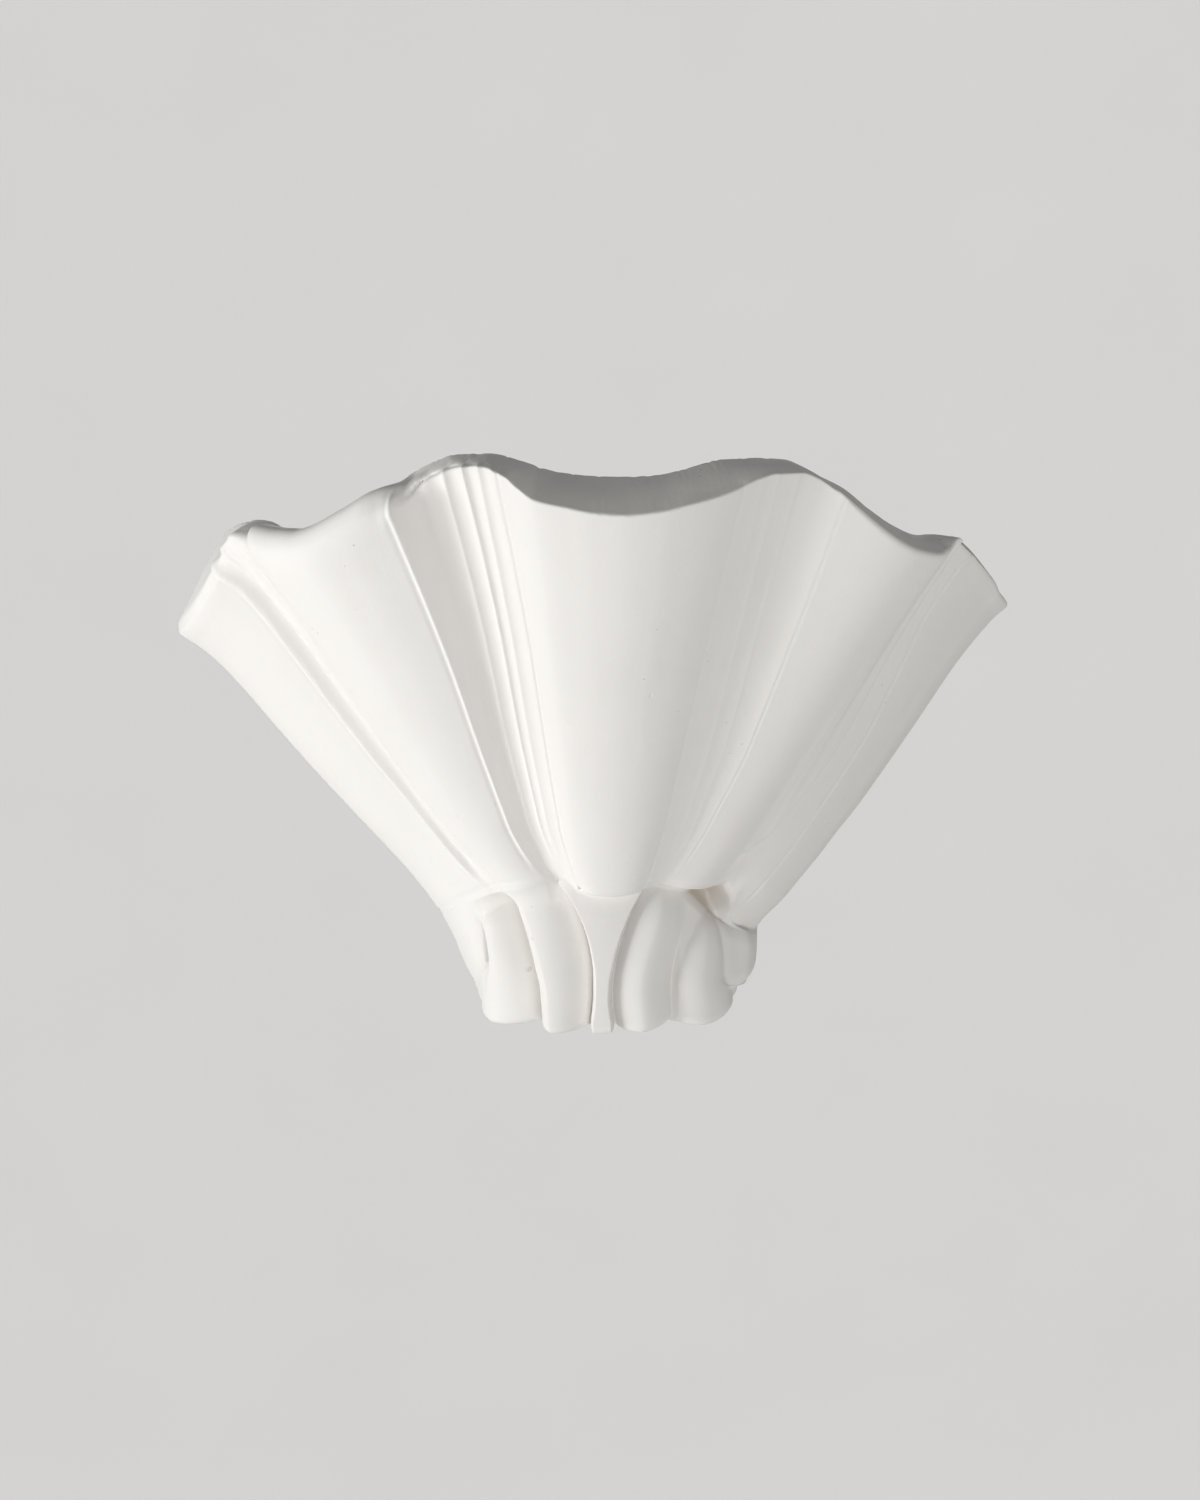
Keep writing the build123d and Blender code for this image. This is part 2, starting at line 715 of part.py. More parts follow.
with BuildPart() as earth_screw:
    add(front_screw(earth_x, 0, lug_front, lug_height + washer_height + strap_thickness + 2, m3))

grommet_back = -standoff
with BuildPart() as cable_grommet:
    for start, length, radius in ((strap_front, grommet_lip, grommet_flange),
                                  (strap_front, -strap_thickness, grommet_hole - snug),
                                  (grommet_back, -grommet_lip, grommet_flange)):
        with BuildSketch(Plane((grommet_x, start, 0), x_dir=(1, 0, 0), z_dir=(0, -1, 0))):
            Circle(radius)
        extrude(amount=length)
    with BuildSketch(Plane((grommet_x, 0, 0), x_dir=(1, 0, 0), z_dir=(0, -1, 0))):
        Circle(grommet_bore)
    extrude(amount=20, mode=Mode.SUBTRACT)


# ---------------------------------------------------------------- inner leads

def bend_radii(points):
    """Each bend as round as its two straight runs allow."""
    radii = []
    for before, corner, after in zip(points, points[1:], points[2:]):
        first = corner - before
        second = after - corner
        half_turn = radians(first.get_angle(second)) / 2
        radii.append(0.45 * min(first.length, second.length) / tan(half_turn))
    return radii


def lead(route):
    """One insulated wire along a route, as a tube."""
    points = [Vector(*point) for point in route]
    with BuildPart() as wire:
        with BuildLine():
            path = FilletPolyline(*points, radius=bend_radii(points))
        with BuildSketch(Plane(origin=path @ 0, z_dir=path % 0)):
            Circle(wire_radius)
        sweep()
    return wire


lead_start_y = -lamp_out + m3[1] + wire_radius + 0.4
lead_start_z = seat_z - 0.3
block_entry = wire_grip - tube_length / 2
nipple_foot = -arm_drop - nipple_below
lead_loop = 14.0            # lowest point of the live lead under the nipple
neutral_rise = 4.0          # the neutral lead passes over the live one


def holder_lead(side, pole, swing, low):
    """From a contact screw, down the nipple and round to the terminal block."""
    return lead([
        (side * contact_screw_offset, lead_start_y, lead_start_z),
        (side * contact_screw_offset, lead_start_y, lead_start_z - 3),
        (side * wire_pair, -lamp_out, arm_top + nipple_above + 0.4),
        (side * wire_pair, -lamp_out, nipple_foot - 4),
        (side * wire_pair + swing, -lamp_out + 8, low + 1),
        (pole - swing, tube_y - 10, low),
        (pole, tube_y, nipple_foot - 4),
        (pole, tube_y, block_entry)])


wire_neutral = holder_lead(-1, poles[1], 5.0, nipple_foot - lead_loop + neutral_rise)
wire_live = holder_lead(1, poles[2], 6.0, nipple_foot - lead_loop)

earth_low = -lug_drop - 21.0
earth_turn = 9.0            # the earth lead bends this far from both of its ends
wire_earth = lead([
    (earth_x, barrel_y, -lug_drop - 1.2),
    (earth_x, barrel_y, earth_low + earth_turn),
    (earth_x + earth_turn, barrel_y, earth_low),
    (poles[0] - earth_turn, tube_y, earth_low),
    (poles[0], tube_y, earth_low + earth_turn),
    (poles[0], tube_y, block_entry)])


# ---------------------------------------------------------------- labels and files

pieces = {
    "plaster_shell": plaster_shell,
    "hanger_plate_left": hanger_plate_left,
    "hanger_plate_right": hanger_plate_right,
    "wall_bracket": wall_bracket,
    "lamp_arm": lamp_arm,
    "arm_screws": arm_screws,
    "arm_nuts": arm_nuts,
    "holder_nipple": holder_nipple,
    "holder_nut": holder_nut,
    "holder_dome": holder_dome,
    "holder_skirt": holder_skirt,
    "holder_carrier": holder_carrier,
    "holder_screw_shell": holder_screw_shell,
    "centre_contact": centre_contact,
    "side_contact": side_contact,
    "contact_screws": contact_screws,
    "lamp_tip_contact": lamp_tip_contact,
    "lamp_insulator": lamp_insulator,
    "lamp_cap": lamp_cap,
    "lamp_envelope": lamp_envelope,
    "lamp_stem": lamp_stem,
    "lamp_support": lamp_support,
    "lamp_filaments": lamp_filaments,
    "terminal_block": terminal_block,
    "terminal_tubes": terminal_tubes,
    "terminal_screws": terminal_screws,
    "block_screw": block_screw,
    "earth_washer": earth_washer,
    "earth_ring": earth_ring,
    "earth_screw": earth_screw,
    "cable_grommet": cable_grommet,
    "wire_live": wire_live,
    "wire_neutral": wire_neutral,
    "wire_earth": wire_earth,
}

for label, piece in pieces.items():
    piece.part.label = label
    export_step(piece.part, f"parts/{label}.step")
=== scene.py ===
"""Looks of the plaster shell wall light. Metres, X to the viewer's right, wall at Y = 0, Z up."""
from math import cos, pi, radians, sin

import bpy
import numpy as np
from mathutils import Matrix, Vector


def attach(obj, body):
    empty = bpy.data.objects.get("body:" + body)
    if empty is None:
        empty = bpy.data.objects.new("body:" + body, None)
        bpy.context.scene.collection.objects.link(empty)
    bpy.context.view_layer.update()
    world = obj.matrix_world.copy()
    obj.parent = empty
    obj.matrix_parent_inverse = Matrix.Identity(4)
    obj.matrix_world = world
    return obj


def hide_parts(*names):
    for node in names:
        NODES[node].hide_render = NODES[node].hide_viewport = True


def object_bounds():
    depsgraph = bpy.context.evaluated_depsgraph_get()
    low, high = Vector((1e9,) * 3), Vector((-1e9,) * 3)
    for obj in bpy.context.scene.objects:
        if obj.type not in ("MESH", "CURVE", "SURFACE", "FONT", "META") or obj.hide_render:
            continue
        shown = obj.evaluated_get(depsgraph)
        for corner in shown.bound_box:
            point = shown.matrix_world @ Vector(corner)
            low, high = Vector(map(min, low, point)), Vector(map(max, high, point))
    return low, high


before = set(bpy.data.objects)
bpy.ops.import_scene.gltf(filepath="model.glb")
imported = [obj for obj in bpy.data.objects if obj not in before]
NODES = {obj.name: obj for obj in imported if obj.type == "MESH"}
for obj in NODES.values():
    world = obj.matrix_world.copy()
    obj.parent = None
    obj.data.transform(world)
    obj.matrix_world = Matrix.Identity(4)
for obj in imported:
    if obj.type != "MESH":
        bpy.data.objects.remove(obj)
cad_low, cad_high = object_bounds()
MM = 0.001

# ------------------------------------------------------------------ sizes, as in the part (mm)

RIM_HALF_WIDTH, RIM_DEPTH = 175.0, 155.0
WAIST_HALF_WIDTH, WAIST_DEPTH = 72.0, 64.0
FOOT_HALF_WIDTH, FOOT_DEPTH = 52.0, 48.0
BASE_DROP = 120.5
RIM_THICKNESS, WALL_THICKNESS = 22.0, 17.0
WALL_SAG = 0.13
PANEL_CROWN = 3.0
CAVITY_FLOOR, CAVITY_FLOOR_RADIUS = 38.5, 40.0

# ------------------------------------------------------------------ sizes of the visual model (mm)

FOOT_ROUND_HEIGHT, FOOT_ROUND_REACH = 6.0, 4.6     # rounded edge of the underside
FOOT_SCALLOP = 3.8                                 # rise of that edge at the creases
BAND_DEPTH, BAND_DEEPER = 2.8, 4.2                 # fluted bands at their foot, and more at the rim
FLUTE_DEPTH, FLUTE_DEEPER = 0.35, 0.85             # hollows between the bands' ridges
BAND_BEAD = 1.1
GROOVE_DEPTH, GROOVE_DEEPER = 2.4, 2.6             # groove near the wall on the left
GROOVE_RIB, GROOVE_RIDGE = 1.8, 1.4                # rib in it, and ridge along its outer edge
STEP_DEPTH = 1.9                                   # flat step near the wall on the right
TIP_DRAWN_IN = 5.5                                 # strip against the wall near the right tip
STRIP_TUCKED_IN = 5.0                              # the same strip behind the top of the knob
LOBE_DEPTH, LEFT_DEEPER, SIDE_DEEPER = 8.0, 2.0, 4.0
RECESS_DEEPER = 2.0
KEY_SUNK, KEY_PROUD = 9.0, 0.3                     # sides of the keystone, and its face
BEVEL_LEFT, BEVEL_RIGHT = 2.4, 3.4
RIM_SOFT, BACK_SOFT = 1.2, 2.6                     # rounding of the rim's front and back edges
CORNER_REACH = 9.0                                 # rounded corner on the floor of the hollow
ARRIS = 0.7                                        # rounding against the wall

# Rows of points, from the middle of the underside up the outside and down the inside
UNDERSIDE_SHARES = (0.0, 0.25, 0.5, 0.65, 0.76, 0.84)
FOOT_TURNS = (0, 13, 26, 39, 52, 65, 78)
BASE_ROWS, COVE_ROWS, WALL_ROWS = 120, 8, 215
RIM_ROWS, BACK_ROWS, HOLLOW_ROWS, CORNER_ROWS = 24, 8, 50, 10
FLOOR_SHARES = (0.85, 0.6, 0.35, 0.0)
BASE_END = len(UNDERSIDE_SHARES) + len(FOOT_TURNS) + BASE_ROWS
WALL_END = BASE_END + COVE_ROWS + WALL_ROWS

# Small round pits: angle, height, radius and depth
PITS = ((-39.6, 26.3, 0.7, 2.4), (-12.6, 63.9, 0.7, 2.0), (-62.5, 186.0, 1.1, 1.2),
        (48.0, 120.0, 0.5, 0.8), (-44.0, 96.0, 0.45, 0.7), (6.0, 150.0, 0.4, 0.5))

# Height of the rim's outer and inner edges above the base, angle by angle, left negative
RIM_OUTER = ((-90, 170), (-86, 171), (-83, 172.2), (-80, 174.3), (-77, 177.2), (-74, 180.9),
             (-71, 186), (-68, 192.5), (-65, 201), (-62.5, 208.5), (-60.5, 211.5), (-58, 211),
             (-55.5, 207.5), (-52, 203.5), (-45.5, 204.5), (-39.8, 210.5), (-34.6, 218.5),
             (-31.4, 223.5), (-29.5, 229.5), (-27, 234), (-23, 237.5), (-20, 238), (-16.2, 234.5),
             (-14.4, 230.5), (-12, 226), (-8, 223.5), (-4.5, 221.5), (0, 220.5), (4.5, 221.5),
             (8, 223.5), (12, 226), (15, 228.5), (17.8, 231.5), (21, 233.5), (25, 233.5),
             (27.4, 231.5), (30.4, 226.5), (33.6, 219.5), (36.9, 212.5), (40.4, 206.5), (44, 202.5),
             (49, 200.5), (51, 202), (53, 206), (55, 203.5), (58, 199.3), (62, 193.8), (66, 188.8),
             (70, 184), (73, 179.5), (78, 175.6), (84, 172), (90, 170))
RIM_INNER = ((-90, 184), (-86, 192), (-82, 199.5), (-78, 206), (-74, 210.5), (-70, 213.6),
             (-66, 215.8), (-62, 216.8), (-59, 216.4), (-57, 215), (-54, 210), (-50, 211),
             (-45, 216), (-40, 223), (-35, 231), (-30, 238.8), (-25, 242.7), (-20, 242.7),
             (-15, 240), (-10, 236.4), (-5, 234.8), (0, 234.3), (5, 234.6), (10, 237),
             (15, 239.6), (20, 239.6), (25, 238.6), (30, 233.2), (35, 228), (40, 219.6),
             (45, 212.5), (50, 208), (53, 207), (56, 206.2), (59, 206), (62, 205.6),
             (66, 202.5), (70, 196), (75, 187), (80, 180), (90, 171))
# Crest of the wide soft roll that makes the rim on the left, angle against height
ROLL_CREST = ((-66, 212), (-60, 214.5), (-56, 216), (-50, 214.9), (-47, 214.9), (-45, 216),
              (-39.3, 223.2), (-35, 230), (-31, 236.2), (-29, 239))
# Lower edge of the panels, which hangs in shallow scallops
LIP = ((-90, 42.5), (-75, 48.5), (-60, 56.5), (-48, 62.5), (-36, 66), (-24, 68.5), (-19, 68.5),
       (-12.7, 64.5), (-6, 62.7), (0, 62.2), (7, 62.8), (13, 64), (18, 65.5), (27, 63), (39, 60.9),
       (47, 61), (50, 57), (53, 49.5), (57, 44), (61, 40.5), (66, 37.5), (75, 34), (90, 31.5))
# Outline against the wall, height above the underside against distance from the middle
EDGE_LEFT = ((0, 53), (7.5, 55), (12.5, 56.8), (17.5, 59.5), (22.5, 61.5), (27.5, 63.2),
             (32.5, 65.4), (37.5, 67.8), (42.5, 70.5), (52.5, 77), (62.5, 84.6), (72.5, 93.2),
             (82.5, 102), (102.5, 119), (122.5, 135.2), (142.5, 150.8), (152.5, 159.5),
             (160, 168), (163, 172.4), (165.5, 174.8), (171, 174.9))
EDGE_RIGHT = ((0, 54.5), (3, 57.5), (8, 58.5), (10.5, 60), (12.5, 63), (15, 65), (20, 66.3),
              (26, 66.6), (30, 67.2), (34, 69), (38, 72.5), (42.5, 77), (52.5, 85.3), (62.5, 93.5),
              (72.5, 101), (82.5, 109), (102.5, 123.5), (122.5, 137.5), (142.5, 151.2),
              (152.5, 159), (160, 165.6), (164, 169.4), (167, 173.2), (168.5, 174.6), (172, 174.6))

# Edges of the bands against the share of the wall's height, for the left and the right half
BAND_INNER = (((0, 12.5), (0.03, 14), (0.14, 16.9), (0.33, 17.1), (0.6, 16.8), (1, 17.2)),
              ((0, 12), (0.06, 14), (0.2, 16), (0.5, 16.3), (1, 16)))
BAND_OUTER = (((0, 25.5), (0.03, 28), (0.17, 31.7), (0.37, 32.1), (0.6, 31.8), (1, 32)),
              ((0, 22), (0.06, 26.2), (0.17, 30.1), (0.4, 32.9), (0.7, 32.4), (1, 31.2)))
GROOVE_INNER = (((0, 45), (0.1, 49.8), (0.23, 53.8), (0.34, 57), (0.56, 59.2), (0.8, 60.7),
                 (1, 62)),
                ((0, 41), (0.04, 43.8), (0.13, 49.2), (0.33, 54.6), (0.5, 56.2), (0.72, 54.8),
                 (1, 54)))
GROOVE_OUTER = (((0, 50.5), (0.05, 53.4), (0.17, 58.1), (0.3, 61.1), (0.42, 62.8), (0.6, 63.7),
                 (0.9, 64.3), (1, 65.7)),
                ((0, 57), (0.1, 58.5), (0.17, 60.5), (0.3, 62), (0.5, 62.6), (0.71, 59.8),
                 (0.86, 57.5), (0.96, 57.6), (1, 58.8)))
# Ridges between the flutes, share of the band's width against share of the wall's height
RIDGES = (((0, 0.94), (0.4, 0.89), (0.75, 0.83), (1, 0.76)),
          ((0, 0.77), (0.4, 0.69), (0.75, 0.6), (1, 0.56)),
          ((0, 0.52), (0.4, 0.45), (0.75, 0.38), (1, 0.35)),
          ((0, 0.32), (0.4, 0.28), (0.75, 0.23), (1, 0.19)))

# Creases of the base, height above the underside against angle
KEY_LEFT = ((-2, -13.5), (4.4, -11.6), (10, -10.4), (18, -9.6), (26.6, -9.4), (36.5, -10.6),
            (45.7, -12.8), (51, -14.8), (59, -18.8), (66, -24), (72.5, -30))
KEY_RIGHT = ((-2, 5), (2.5, 3.6), (8.5, 1.7), (16.5, 1), (24.5, 1.5), (30.6, 2.6), (39.5, 4.8),
             (46, 7), (53.5, 10.2), (63.5, 16.5), (72.5, 26))
CREASE_LEFT = ((-2, -34.5), (7.5, -33.7), (18.5, -33.8), (29.5, -36), (40.5, -38.9), (52.5, -43),
               (62.5, -47.7))
CREASE_RIGHT = ((-2, 31), (5.5, 30.4), (20.5, 28.5), (33.5, 31.3), (43.5, 35.3), (52.5, 36),
                (62.5, 35))
OUTER_LEFT = ((-2, -72), (4.5, -70), (21.5, -62), (30.5, -58), (38.5, -59), (49.5, -60),
              (58.5, -58))
OUTER_RIGHT = ((-2, 63), (5.5, 62), (13.5, 57.6), (20, 53), (28, 52), (38, 49.5), (47, 47))
# Round tops of the two lobes on the right, angle against height
RIGHT_TOP = ((28, 36), (34, 41.5), (38, 45), (42, 46.6), (46, 47), (50, 45.6), (55, 42.8),
             (60, 39.8), (66, 36.5), (75, 33), (90, 30.5))


def smooth(stations, x):
    """Smooth monotone curve through the stations, as a numpy function."""
    xs = np.array([s[0] for s in stations], float)
    ys = np.array([s[1] for s in stations], float)
    step = np.diff(xs)
    rate = np.diff(ys) / step
    slope = np.zeros_like(ys)
    slope[0], slope[-1] = rate[0], rate[-1]
    same = rate[1:] * rate[:-1] > 0
    total = np.where(same, rate[1:] + rate[:-1], 1)
    slope[1:-1] = np.where(same, 2 * rate[1:] * rate[:-1] / total, 0)
    x = np.clip(np.asarray(x, float), xs[0], xs[-1])
    i = np.clip(np.searchsorted(xs, x, "right") - 1, 0, len(step) - 1)
    t = (x - xs[i]) / step[i]
    a = (1 + 2 * t) * (1 - t) ** 2
    b = t * (1 - t) ** 2
    c = t * t * (3 - 2 * t)
    d = t * t * (t - 1)
    return a * ys[i] + b * step[i] * slope[i] + c * ys[i + 1] + d * step[i] * slope[i + 1]


def ease(x):
    """Zero below 0, one above 1, and a soft step between."""
    x = np.clip(x, 0, 1)
    return x * x * (3 - 2 * x)


def oval(half_width, depth, angle):
    """Radius of a half oval at an angle from the front, in degrees."""
    turn = np.radians(angle)
    return 1 / np.hypot(np.sin(turn) / half_width, np.cos(turn) / depth)


def bump(x, middle, width):
    """Round bump of height one."""
    return np.exp(-((x - middle) / width) ** 2)


def peak(distance, reach):
    """Sharp ridge of height one."""
    return np.exp(-np.abs(distance) / reach)


def arc(start, control, end, t):
    """Point of a rounded corner from start to end, drawn toward control."""
    return (1 - t) ** 2 * start + 2 * t * (1 - t) * control + t * t * end


def hollow_section(t, turn_at, steep_power, long_power):
    """Section of a hollow, 0 to 1: a long slope up to turn_at and a steep rise after it."""
    steep = np.sin(pi / 2 * np.clip((1 - t) / (1 - turn_at), 0, 1)) ** steep_power
    slope = np.cos(pi / 2 * np.clip((turn_at - t) / turn_at, 0, 1)) ** long_power
    return np.where(t > turn_at, steep, slope)


def flare(angle):
    """Lean of the wall from upright."""
    out = oval(RIM_HALF_WIDTH, RIM_DEPTH, angle) - oval(WAIST_HALF_WIDTH, WAIST_DEPTH, angle)
    return np.arctan2(out, smooth(RIM_OUTER, angle) - smooth(LIP, angle))


def uneven(angle, height, seed):
    """Slow waviness of a hand-cast face, about plus or minus one."""
    a = np.radians(angle)
    total = 0
    for k, (fa, fh) in enumerate(((2.3, 0.021), (5.1, 0.034), (8.7, 0.013), (13.9, 0.057))):
        phase = seed * 1.7 + k * 2.1
        total = total + np.sin(fa * a + phase) * np.sin(fh * height * 2 + phase * 1.3) / (k + 1)
    return total / 2


def sided(tables, angle, rise):
    """Value from the left or the right one of two tables."""
    return np.where(angle < 0, smooth(tables[0], rise), smooth(tables[1], rise))


def band_relief(turn, left, rise, a0, a1, per_degree):
    """Wide fluted band: steep on its outer side, a long slope on its inner side, low ridges."""
    t = np.clip((turn - a0) / (a1 - a0), 0, 1)
    inside = (t > 0) & (t < 1)
    width = (a1 - a0) * per_degree
    depth = (BAND_DEPTH + BAND_DEEPER * rise) * np.where(left, 1.0, 0.36)
    relief = -np.where(inside, depth * hollow_section(t, 0.8, 0.9, 1.5), 0.0)
    hollow = (FLUTE_DEPTH + FLUTE_DEEPER * rise) * np.where(left, 1.0, 0.16) * ease(rise * 6)
    stops = [0.0 * t + 0.05] + [smooth(ridge, rise) for ridge in RIDGES[::-1]] + [0.0 * t + 1]
    for low_stop, high_stop in zip(stops, stops[1:]):
        s = np.clip((t - low_stop) / (high_stop - low_stop), 0, 1)
        relief = relief - hollow * 4 * s * (1 - s)
    relief = relief - np.where(left, 0.55, 0.1) * peak((t - stops[4]) * width, 0.8) * ease(rise * 6)
    for stop in stops[2:4]:
        relief = relief + hollow * 0.7 * inside * peak((t - stop) * width, 0.9)
    # fine scored lines along both edges of the band and a bead outside its outer edge
    inner_line = np.where(left, 0.5, 0.1) * bump((turn - a0) * per_degree, 0.0, 0.45)
    beyond = (turn - a1) * per_degree
    outer_line = 0.45 * np.where(left, bump(beyond, 2.3, 0.8), bump(beyond, 0.3, 0.45))
    bead = np.where(left, BAND_BEAD, 0.0) * peak(beyond - 0.7, 0.7)
    return relief - inner_line * ease(rise * 12) + (bead - outer_line) * ease(rise * 10)


def groove_relief(turn, left, rise, g0, g1, per_degree):
    """Near the wall: a hollow groove with a rib on the left, a low flat step on the right."""
    v = np.clip((turn - g0) / (g1 - g0), 0, 1)
    inside = (v > 0) & (v < 1)
    fade = ease((rise + 0.03) * 7)
    groove = (GROOVE_DEPTH + GROOVE_DEEPER * rise) * hollow_section(v, 0.7, 0.9, 1.2)
    groove = groove * (1 - 0.75 * ease((rise - 0.88) * 9))
    groove = groove - GROOVE_RIB * peak((v - 0.4) * (g1 - g0) * per_degree, 0.9) * ease(rise * 5)
    flat = STEP_DEPTH * np.clip(v / 0.09, 0, 1) * (1 - v) ** 0.7
    relief = -np.where(inside, np.where(left, groove, flat) * fade, 0.0)
    outer = (turn - g1) * per_degree
    ridge = GROOVE_RIDGE * peak(outer - 0.6, 0.7) - 0.6 * bump(outer, 2.4, 0.7)
    relief = relief + np.where(left, ridge, -0.8 * bump(outer, 0.0, 0.55)) * fade
    relief = relief - np.where(left, 0.5, 0.0) * bump((turn - g0) * per_degree, 0.0, 0.6) * fade
    # one short extra line near the left tip
    line = 57 + 2.2 * ease((rise - 0.8) / 0.2)
    short = np.where(left, 0.7, 0.0) * ease((rise - 0.72) / 0.1)
    return relief - short * bump((turn - line) * per_degree, 0, 0.7)


def strip_relief(angle, rise, g1):
    """Strip against the wall, drawn in near the right tip and behind the top of the knob."""
    turn = np.abs(angle)
    w = np.clip((turn - g1) / (90 - g1), 0, 1)
    crown = PANEL_CROWN * np.sin(pi / 2 * w) * (turn > g1)
    drawn_in = TIP_DRAWN_IN * np.sin(pi * np.clip((angle - 54) / 38, 0, 1)) ** 0.8
    tucked = STRIP_TUCKED_IN * ease((angle - 51) / 6) * (1 - 0.6 * ease((angle - 68) / 20))
    near_foot = np.clip(1 - rise / 0.12, 0, 1) ** 2
    return crown - drawn_in * np.clip(rise, 0, 1) ** 3 - tucked * near_foot


def wall_relief(angle, rise):
    """Outer face about the plain flare: crowned panels, fluted bands, grooves and beads (mm)."""
    turn = np.abs(angle)
    left = angle < 0
    a0, a1 = sided(BAND_INNER, angle, rise), sided(BAND_OUTER, angle, rise)
    g0, g1 = sided(GROOVE_INNER, angle, rise), sided(GROOVE_OUTER, angle, rise)
    per_degree = oval(RIM_HALF_WIDTH, RIM_DEPTH, angle) * (0.42 + 0.58 * rise) * pi / 180
    middle_panel = PANEL_CROWN * (1 - np.clip(turn / a0, 0, 1) ** 3.6)
    u = np.clip((turn - a1) / (g0 - a1), 0, 1)
    crown = PANEL_CROWN + np.where(left, 0.8, -1.2)
    side_panel = crown * np.sin(pi * u) ** np.where(left, 0.85, 1.3) * ((u > 0) & (u < 1))
    return (middle_panel + side_panel + band_relief(turn, left, rise, a0, a1, per_degree)
            + groove_relief(turn, left, rise, g0, g1, per_degree) + strip_relief(angle, rise, g1))


def wall_radius(angle, rise):
    """Plain flare of the outer wall; rise is the share of the wall's height."""
    low = oval(WAIST_HALF_WIDTH, WAIST_DEPTH, angle) - PANEL_CROWN
    high = oval(RIM_HALF_WIDTH, RIM_DEPTH, angle) - PANEL_CROWN
    return low + (high - low) * (rise - WALL_SAG * rise * (1 - rise))


def to_edges(angle, radius, height):
    """Radius drawn toward the shell's outline against the wall on each side."""
    near = ease((np.abs(angle) - 42) / 48)
    left = smooth(EDGE_LEFT, height[0]) / radius[0]
    right = smooth(EDGE_RIGHT, height[-1]) / radius[-1]
    return radius * (1 + (np.where(angle < 0, left, right) - 1) * near)


def inner_radius(angle, rise):
    """Wall of the hollow."""
    low = oval(WAIST_HALF_WIDTH, WAIST_DEPTH, angle) - WALL_THICKNESS
    high = oval(RIM_HALF_WIDTH, RIM_DEPTH, angle) - RIM_THICKNESS * np.cos(flare(angle))
    return low + (high - low) * (rise - WALL_SAG * rise * (1 - rise))


def at_lip(angle):
    """Radius of the panels' lower edge."""
    return wall_radius(angle, 0.0) + wall_relief(angle, np.zeros_like(angle))


def base_crest(angle, share):
    """Level of the lobes' crests: nearly upright, well behind the panels' edge at the top."""
    turn = np.radians(angle)
    power = 2.7
    across, forward = np.abs(np.sin(turn)) / FOOT_HALF_WIDTH, np.abs(np.cos(turn)) / FOOT_DEPTH
    squarish = (across ** power + forward ** power) ** (-1 / power)
    foot = squarish + 5.0 + 2.0 * bump(angle, 50, 22)
    behind = 5.0 - 4.4 * ease((np.abs(angle) - 56) / 10)
    neck = oval(WAIST_HALF_WIDTH, WAIST_DEPTH, angle) - 1.0 - behind
    swell = 2.2
    t = np.clip(share, 0, 1)
    return foot + (neck - foot) * t + swell * 4 * t * (1 - t)


def lobe(angle, height, low, high, foot, top, blunt=12.0, crest_at=0.4):
    """Share of a rounded lobe between two creases: steep first, a long fall on its right side."""
    u = np.clip((angle - low) / np.maximum(high - low, 0.5), 0, 1)
    a = np.clip((crest_at - u) / crest_at, 0, 1)
    b = np.clip((u - crest_at) / (1 - crest_at), 0, 1)
    across = (1 - 0.5 * a ** 1.5 - 0.5 * a ** 6) * (1 - b ** 1.9)
    over = np.clip((height - (top - blunt)) / blunt, 0, 1)
    under = np.clip((foot + blunt - height) / blunt, 0, 1)
    return across * (1 - over ** 2) ** 0.6 * np.sqrt(1 - under ** 2)


def above_recess(angle, height):
    """Height above the sloping lower edge of the recess on the right."""
    return height - (60 - 0.93 * (angle - 32))


